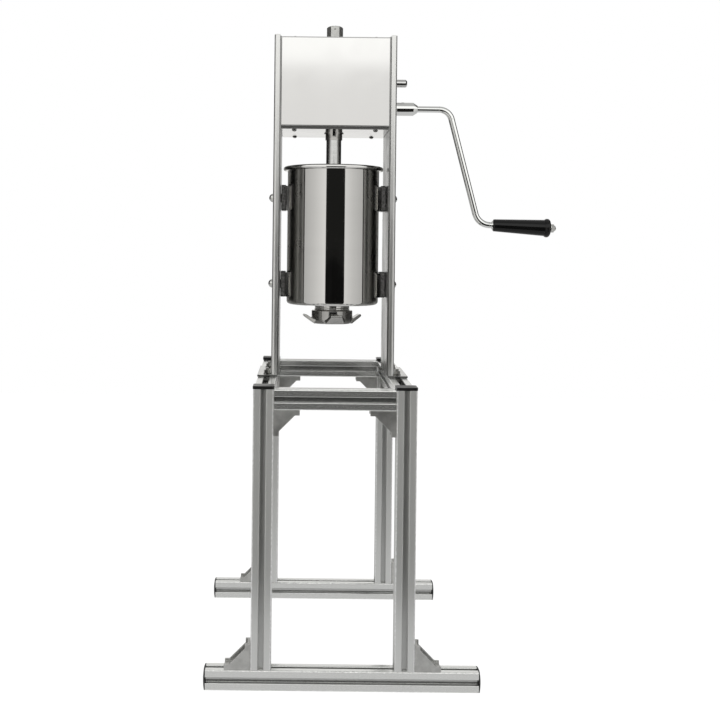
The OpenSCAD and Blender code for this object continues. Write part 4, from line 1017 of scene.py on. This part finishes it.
class CHURRO_OT_cap_screws(bpy.types.Operator):
    """Set a knurled cap screw in every gusset hole"""
    bl_idname = "churro.cap_screws"
    bl_label = "Cap screws"

    def execute(self, context):
        sizes = context.scene.churro_hardware
        cloud = point_cloud("cap_screw_places", seats("gusset_screws", sizes.head_d))
        mesh = grown("cap_screws", cap_screw_tree(), cloud, "Zinc-plated steel", {
            "Head diameter": sizes.head_d, "Head height": sizes.head_h,
            "Socket width": sizes.socket_w, "Knurls": sizes.knurls,
            "Shank diameter": 6 * MM, "Shank length": 11 * MM})
        add_piece("cap_screws", mesh, "stand", "fastener_steel", "gusset_screws")
        return {"FINISHED"}


class CHURRO_OT_cover_screws(bpy.types.Operator):
    """Set the slotted screws in the housing's floor and roof"""
    bl_idname = "churro.cover_screws"
    bl_label = "Cover screws"

    def execute(self, context):
        cloud = point_cloud("slot_places", seats("cover_screws", 7 * MM))
        mesh = grown("slotted_screws", slot_screw_tree(), cloud, "Zinc-plated nut", {
            "Head diameter": 7.6 * MM, "Head height": 2.8 * MM, "Slot width": 1 * MM,
            "Shank diameter": 4 * MM, "Shank length": 8 * MM})
        add_piece("slotted_screws", mesh, "stand", "fastener_steel", "cover_screws")
        return {"FINISHED"}


class CHURRO_OT_base_studs(bpy.types.Operator):
    """Stand the threaded studs with washers and nuts in the base plates"""
    bl_idname = "churro.base_studs"
    bl_label = "Base studs"

    def execute(self, context):
        sizes = context.scene.churro_hardware
        boxes = [corners(points) for points in islands("base_studs")]
        places = [(Vector(((low.x + high.x) / 2, (low.y + high.y) / 2, high.z)),
                   Vector((0, 0, 1))) for low, high in boxes]
        tall = max(high.z - low.z for low, high in boxes)
        cloud = point_cloud("stud_places", places)
        mesh = grown("studs_with_nuts", stud_tree(), cloud, "Zinc-plated nut", {
            "Stud diameter": 6 * MM, "Stud length": tall,
            "Pitch": sizes.thread_pitch, "Nut width": sizes.nut_w, "Nut height": 5 * MM,
            "Stud over": 3 * MM, "Washer diameter": 12 * MM, "Washer thickness": 1.5 * MM})
        add_piece("studs_with_nuts", mesh, "stand", "fastener_steel", "base_studs", "base_nuts")
        return {"FINISHED"}


class CHURRO_OT_barrel(bpy.types.Operator):
    """Draw the cylinder's barrel with its rounded floor and rolled lip"""
    bl_idname = "churro.barrel"
    bl_label = "Barrel"

    def execute(self, context):
        sizes = context.scene.churro_hardware
        low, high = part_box("cylinder_barrel")
        axis = (low + high) / 2
        bead, wall, corner = sizes.bead_r, sizes.wall, 6 * MM
        tuck, floor, hole = 0.6 * MM, 1.5 * MM, 29.5 * MM
        r = high.x - axis.x - 2 * bead + tuck
        z0, ring = low.z, (r + bead - tuck, high.z - bead)
        lap = math.degrees(math.acos((tuck - bead) / bead))
        section = ([(hole, z0)] + bend((r - corner, z0 + corner), corner, -90, 0)
                   + bend(ring, bead, -lap, 165, 28) + [(r - wall, ring[1] + 0.2 * bead)]
                   + bend((r - corner, z0 + corner), corner - wall, 0, -90)
                   + [(r - corner, z0 + floor), (hole, z0 + floor)])
        mesh = turned("barrel_drawn", section, "Polished cylinder steel",
                      foot=(axis.x, axis.y, 0), Segments=256, Softness=0.15 * MM)
        add_piece("barrel_drawn", mesh, "tank", "cylinder_steel", "cylinder_barrel")
        return {"FINISHED"}


class CHURRO_OT_welds(bpy.types.Operator):
    """Run weld beads down the saddles and round the spout"""
    bl_idname = "churro.welds"
    bl_label = "Weld beads"

    def execute(self, context):
        sizes = context.scene.churro_hardware
        axis = (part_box("outlet_neck")[0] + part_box("outlet_neck")[1]) / 2
        points, edges = [], []

        def run(line):
            start = len(points)
            points.extend(line)
            edges.extend((start + i, start + i + 1) for i in range(len(line) - 1))

        for solid in islands("cylinder_saddles"):
            near, far = corners(solid)
            side = 1 if (near.x + far.x) / 2 > axis.x else -1
            for y in (near.y - 0.2 * MM, far.y + 0.2 * MM):
                x = axis.x + side * (math.sqrt(CYLINDER_R ** 2 - y ** 2) + 0.25 * MM)
                run([Vector((x, y, near.z + (far.z - near.z) * t / 12)) for t in range(1, 12)])
        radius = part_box("outlet_neck")[1].x - axis.x + 0.5 * MM
        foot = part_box("cylinder_barrel")[0].z - 0.3 * MM
        turns = [2 * math.pi * i / 60 for i in range(61)]
        run([Vector((axis.x + radius * math.cos(t), radius * math.sin(t), foot)) for t in turns])
        wire = bpy.data.meshes.new("weld_lines")
        wire.from_pydata(points, edges, [])
        mesh = grown("weld_beads", weld_tree(), wire, "Weld bead", {
            "Ripple": sizes.weld_step, "Width": sizes.weld_w, "Seed": 11})
        add_piece("weld_beads", mesh, "tank", "cylinder_steel")
        return {"FINISHED"}


class CHURRO_OT_spout(bpy.types.Operator):
    """Turn the outlet spout with its helical thread"""
    bl_idname = "churro.spout"
    bl_label = "Outlet spout"

    def execute(self, context):
        sizes = context.scene.churro_hardware
        low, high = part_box("outlet_neck")
        axis = (low + high) / 2
        collar, bore = high.x - axis.x, 25 * MM
        outer = collar - 1.6 * MM
        core = outer - 0.8 * MM
        z0, z1 = low.z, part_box("cylinder_barrel")[0].z
        collar_z, b = z1 - 2.4 * MM, 0.4 * MM
        section = [(bore, z0 + b), (bore + b, z0), (core - b, z0), (core, z0 + b),
                   (core, collar_z), (collar - b, collar_z), (collar, collar_z + b),
                   (collar, z1 - b), (collar - b, z1), (outer, z1), (outer, high.z),
                   (bore + b, high.z), (bore, high.z - b)]
        body = turned("spout_body", section, "Polished cylinder steel",
                      foot=(axis.x, axis.y, 0), Softness=0.2 * MM)
        mesh = grown("outlet_spout", spout_tree(), body, "Polished cylinder steel", {
            "Radius": core, "Pitch": sizes.spout_pitch, "Length": collar_z - z0 - 4 * MM,
            "Depth": 0.75 * MM, "Foot": (axis.x, axis.y, z0 + 1.6 * MM)})
        add_piece("outlet_spout", mesh, "tank", "cylinder_steel", "outlet_neck")
        return {"FINISHED"}


class CHURRO_OT_wing_nut(bpy.types.Operator):
    """Cast the wing nut with soft fillets between ring and wings"""
    bl_idname = "churro.wing_nut"
    bl_label = "Wing nut"

    def execute(self, context):
        name = "wing_nut_cast"
        mesh = evaluated(name, merged(name, "wing_nut"),
                         ("REMESH", {"mode": "VOXEL", "voxel_size": 0.65 * MM,
                                     "use_smooth_shade": True}),
                         ("SMOOTH", {"factor": 0.5, "iterations": 3}))
        add_piece(name, coat(mesh, "Cast wing nut"), "wing_nut", "nut_casting", "wing_nut")
        return {"FINISHED"}


class CHURRO_OT_grip(bpy.types.Operator):
    """Mould the crank's grip with its flare and seam"""
    bl_idname = "churro.grip"
    bl_label = "Crank grip"

    def execute(self, context):
        joint = next(j for j in frame["joints"] if j["name"] == "grip_spin")
        axis = Vector(joint["axis"]).normalized()
        foot = Vector(joint["pos_m"]) + axis * 6.5 * MM
        bore, thin, waist, flare, tall = 4.1 * MM, 10.3 * MM, 13.4 * MM, 10.25 * MM, 96.5 * MM
        heel, bead = 2.4 * MM, 5.5 * MM
        section = ([(bore, 0)] + bend((thin - heel, heel), heel, -90, 0)
                   + [(waist, 0.82 * tall)]
                   + bend((flare, tall - 6 * MM), bead, -52, 80, 16)
                   + [(flare - 1.2 * MM, tall), (bore, tall)])
        mesh = turned("grip_moulded", section, "Grip plastic", axis=axis, foot=foot,
                      Segments=96, Softness=0.8 * MM, Seam_height=0.2 * MM,
                      Seam_turn=math.radians(67.5))
        add_piece("grip_moulded", mesh, "grip", "grip_plastic", "crank_grip")
        return {"FINISHED"}


class CHURRO_OT_stage(bpy.types.Operator):
    """Lay the floor, set the lamps, the sky, the dark screen and the camera"""
    bl_idname = "churro.stage"
    bl_label = "Studio"

    # Lamps as name, place, share of the level and size, all aimed at the machine
    lamps = (("key_lamp", (-1.5, -1.9, 2.5), 1.0, 1.6), ("fill_lamp", (1.9, -1.5, 1.9), 0.7, 1.6),
             ("top_lamp", (0.1, 0.4, 2.9), 0.6, 1.8))
    lamp_aim = Vector((-0.1, 0, 0.5))
    # How far off the middle of the picture the machine stands
    shift = (0.0802, -0.1542)
    # Brightness of the floor as the camera and reflections see it, and its share over shadow
    floor_glow, floor_mirrored, floor_share = 1.19, 0.66, 0.76
    # The room's brightness from straight ahead (0) to straight behind the machine (1)
    ring_stops = ((0.0, 0.97), (0.12, 0.95), (0.28, 0.73), (0.456, 0.56), (0.464, 0.14),
                  (0.52, 0.09), (0.56, 0.05), (0.64, 0.026), (0.72, 0.013), (0.85, 0.012),
                  (0.90, 0.45), (0.93, 0.9), (1.0, 0.95))

    def execute(self, context):
        studio, scene = context.scene.churro_studio, context.scene
        self.floor(studio)
        self.screen()
        self.sky(scene)
        for name, place, share, size in self.lamps:
            data = bpy.data.lights.new(name, "AREA")
            data.shape, data.size, data.energy = "SQUARE", size, studio.level * share
            lamp = bpy.data.objects.new(name, data)
            lamp.location = place
            lamp.rotation_euler = (self.lamp_aim - Vector(place)).to_track_quat(
                "-Z", "Y").to_euler()
            lamp.visible_glossy = False
            scene.collection.objects.link(lamp)
        data = bpy.data.cameras.new("studio_camera")
        data.lens, data.sensor_width = studio.lens, 36.0
        data.shift_x, data.shift_y = self.shift
        data.clip_start, data.clip_end = 0.05, 60.0
        camera = bpy.data.objects.new("studio_camera", data)
        scene.collection.objects.link(camera)
        camera.matrix_world = (Matrix.Translation(studio.eye)
                               @ Matrix.Rotation(math.pi / 2, 4, "X")
                               @ Matrix.Rotation(studio.roll, 4, "Z"))
        scene.camera = camera
        scene.view_settings.view_transform = "Standard"
        return {"FINISHED"}

    def flat(self, name, points, material, scale, dark, light, rough):
        """A flat sheet of paper or cloth with its fibres; gives it and its material's parts"""
        tree, shader, place = surface(material)
        fibre = noise(tree, place, scale, Detail=2.0)
        shade(tree, shader, Base_Color=blend(tree, fibre, dark, light), Roughness=rough,
              Specular_IOR_Level=0.0)
        mesh = bpy.data.meshes.new(name)
        mesh.from_pydata(points, [], [(0, 1, 2, 3)])
        mesh.materials.append(MATERIALS[material])
        piece = bpy.data.objects.new(name, mesh)
        bpy.context.scene.collection.objects.link(piece)
        return piece, tree, shader

    def floor(self, studio):
        """White paper that keeps the machine's shadow"""
        front = CAD_BOX[0][1] - studio.reach
        floor, tree, shader = self.flat(
            "studio_floor", [(-3, front, 0), (3, front, 0), (3, 3, 0), (-3, 3, 0)],
            "Paper floor", 900.0, (0.80, 0.80, 0.79, 1), (0.84, 0.84, 0.83, 1), 0.9)
        path = put(tree, "ShaderNodeLightPath").outputs
        seen = times(tree, path["Is Camera Ray"], self.floor_glow)
        glow = out(tree, "ShaderNodeEmission", 0, {
            "Color": (1, 1, 1, 1), "Strength": calc(
                tree, "MULTIPLY_ADD", path["Is Glossy Ray"], self.floor_mirrored, seen)})
        share = calc(tree, "MULTIPLY_ADD", path["Is Camera Ray"], self.floor_share,
                     path["Is Glossy Ray"])
        mixed = out(tree, "ShaderNodeMixShader", 0, {0: share, 1: shader.outputs[0], 2: glow})
        tree.links.new(mixed, tree.nodes["Material Output"].inputs["Surface"])

    def screen(self):
        """The dark screen behind the camera, which only shows as a reflection"""
        left, right, y, low, high = -1.07, 1.42, -2.9, 0.3, 1.005
        screen, _, _ = self.flat(
            "dark_screen", [(left, y, low), (right, y, low), (right, y, high), (left, y, high)],
            "Dark screen", 3.0, gray(0.008), gray(0.02), 1.0)
        screen.visible_camera = False
        screen.visible_shadow = False
        screen.visible_diffuse = False

    def sky(self, scene):
        """White panels left and right, a dark gap between them, dark room beyond"""
        world = bpy.data.worlds.new("Studio")
        scene.world = world
        world.use_nodes = True
        tree = world.node_tree
        look = out(tree, "ShaderNodeTexCoord", "Generated")
        axes = put(tree, "ShaderNodeSeparateXYZ", {0: look}).outputs
        turn = calc(tree, "ARCTAN2", axes["X"], times(tree, axes["Y"], -1.0))
        rise = calc(tree, "ARCSINE", axes["Z"])
        away = calc(tree, "DIVIDE", calc(tree, "ABSOLUTE", turn), math.pi)
        ramp = put(tree, "ShaderNodeValToRGB", {"Fac": away})
        bar = ramp.color_ramp
        while len(bar.elements) < len(self.ring_stops):
            bar.elements.new(0.5)
        for element, (at, value) in zip(bar.elements, self.ring_stops):
            element.position = at
            element.color = (value, value * 0.993, value * 0.975, 1)

        def between(value, start, end, low=0.0, high=1.0):
            """An angle's mask, its limits in degrees"""
            return ease(tree, value, math.radians(start), math.radians(end), low, high)

        ring = ramp.outputs["Color"]
        # The dark gap lies low in front, between the panels
        sides = times(tree, between(turn, -19.7, -18.3), between(turn, 27.3, 28.7, 1.0, 0.0))
        gap = times(tree, sides, between(rise, -3.5, -2.5, 1.0, 0.0))
        ring = blend(tree, gap, ring, (0.015, 0.015, 0.014, 1))
        # The front is bright from a little over the horizon, and the ceiling is gray
        front = ease(tree, away, 0.40, 0.5, 1.0, 0.0)
        bright = times(tree, front, between(rise, 8.9, 9.9))
        ring = blend(tree, bright, ring, (1.35, 1.35, 1.33, 1))
        ring = blend(tree, between(rise, 38, 52), ring, (0.55, 0.55, 0.545, 1))
        path = put(tree, "ShaderNodeLightPath").outputs
        seen = blend(tree, path["Is Camera Ray"], ring, (1, 1, 1, 1))
        tree.links.new(seen, tree.nodes["Background"].inputs["Color"])


class CHURRO_PT_panel(bpy.types.Panel):
    """Lists the operators and their sizes"""
    bl_idname = "CHURRO_PT_panel"
    bl_label = "Churro maker"
    bl_space_type = "VIEW_3D"
    bl_region_type = "UI"
    bl_category = "Churro"

    def draw(self, context):
        layout = self.layout
        for label in GROUPS:
            box = layout.box()
            settings = getattr(context.scene, label)
            for prop in settings.bl_rna.properties:
                if prop.identifier not in ("rna_type", "name"):
                    box.prop(settings, prop.identifier)
        for operator in OPERATORS:
            layout.operator(operator.bl_idname)


GROUPS = {"churro_finish": CHURRO_PG_finish, "churro_hardware": CHURRO_PG_hardware,
          "churro_studio": CHURRO_PG_studio}
OPERATORS = (CHURRO_OT_finishes, CHURRO_OT_profiles, CHURRO_OT_gussets, CHURRO_OT_caps,
             CHURRO_OT_plates, CHURRO_OT_sheets, CHURRO_OT_hangers, CHURRO_OT_cap_screws,
             CHURRO_OT_cover_screws, CHURRO_OT_base_studs, CHURRO_OT_barrel,
             CHURRO_OT_saddles, CHURRO_OT_welds, CHURRO_OT_spout, CHURRO_OT_wing_nut,
             CHURRO_OT_stop_nut, CHURRO_OT_crank, CHURRO_OT_grip, CHURRO_OT_stage)
CLASSES = (*GROUPS.values(), *OPERATORS, CHURRO_PT_panel)


def register():
    """Registers the classes and puts their settings on the scene"""
    for item in CLASSES:
        bpy.utils.register_class(item)
    for label, kind in GROUPS.items():
        setattr(bpy.types.Scene, label, PointerProperty(type=kind))


def unregister():
    """Takes settings and classes away again"""
    for label in GROUPS:
        delattr(bpy.types.Scene, label)
    for item in reversed(CLASSES):
        bpy.utils.unregister_class(item)


def main():
    """Registers the classes and runs every operator to dress the machine"""
    register()
    for operator in OPERATORS:
        group_name, name = operator.bl_idname.split(".")
        getattr(getattr(bpy.ops, group_name), name)()


if __name__ == "__main__":
    main()
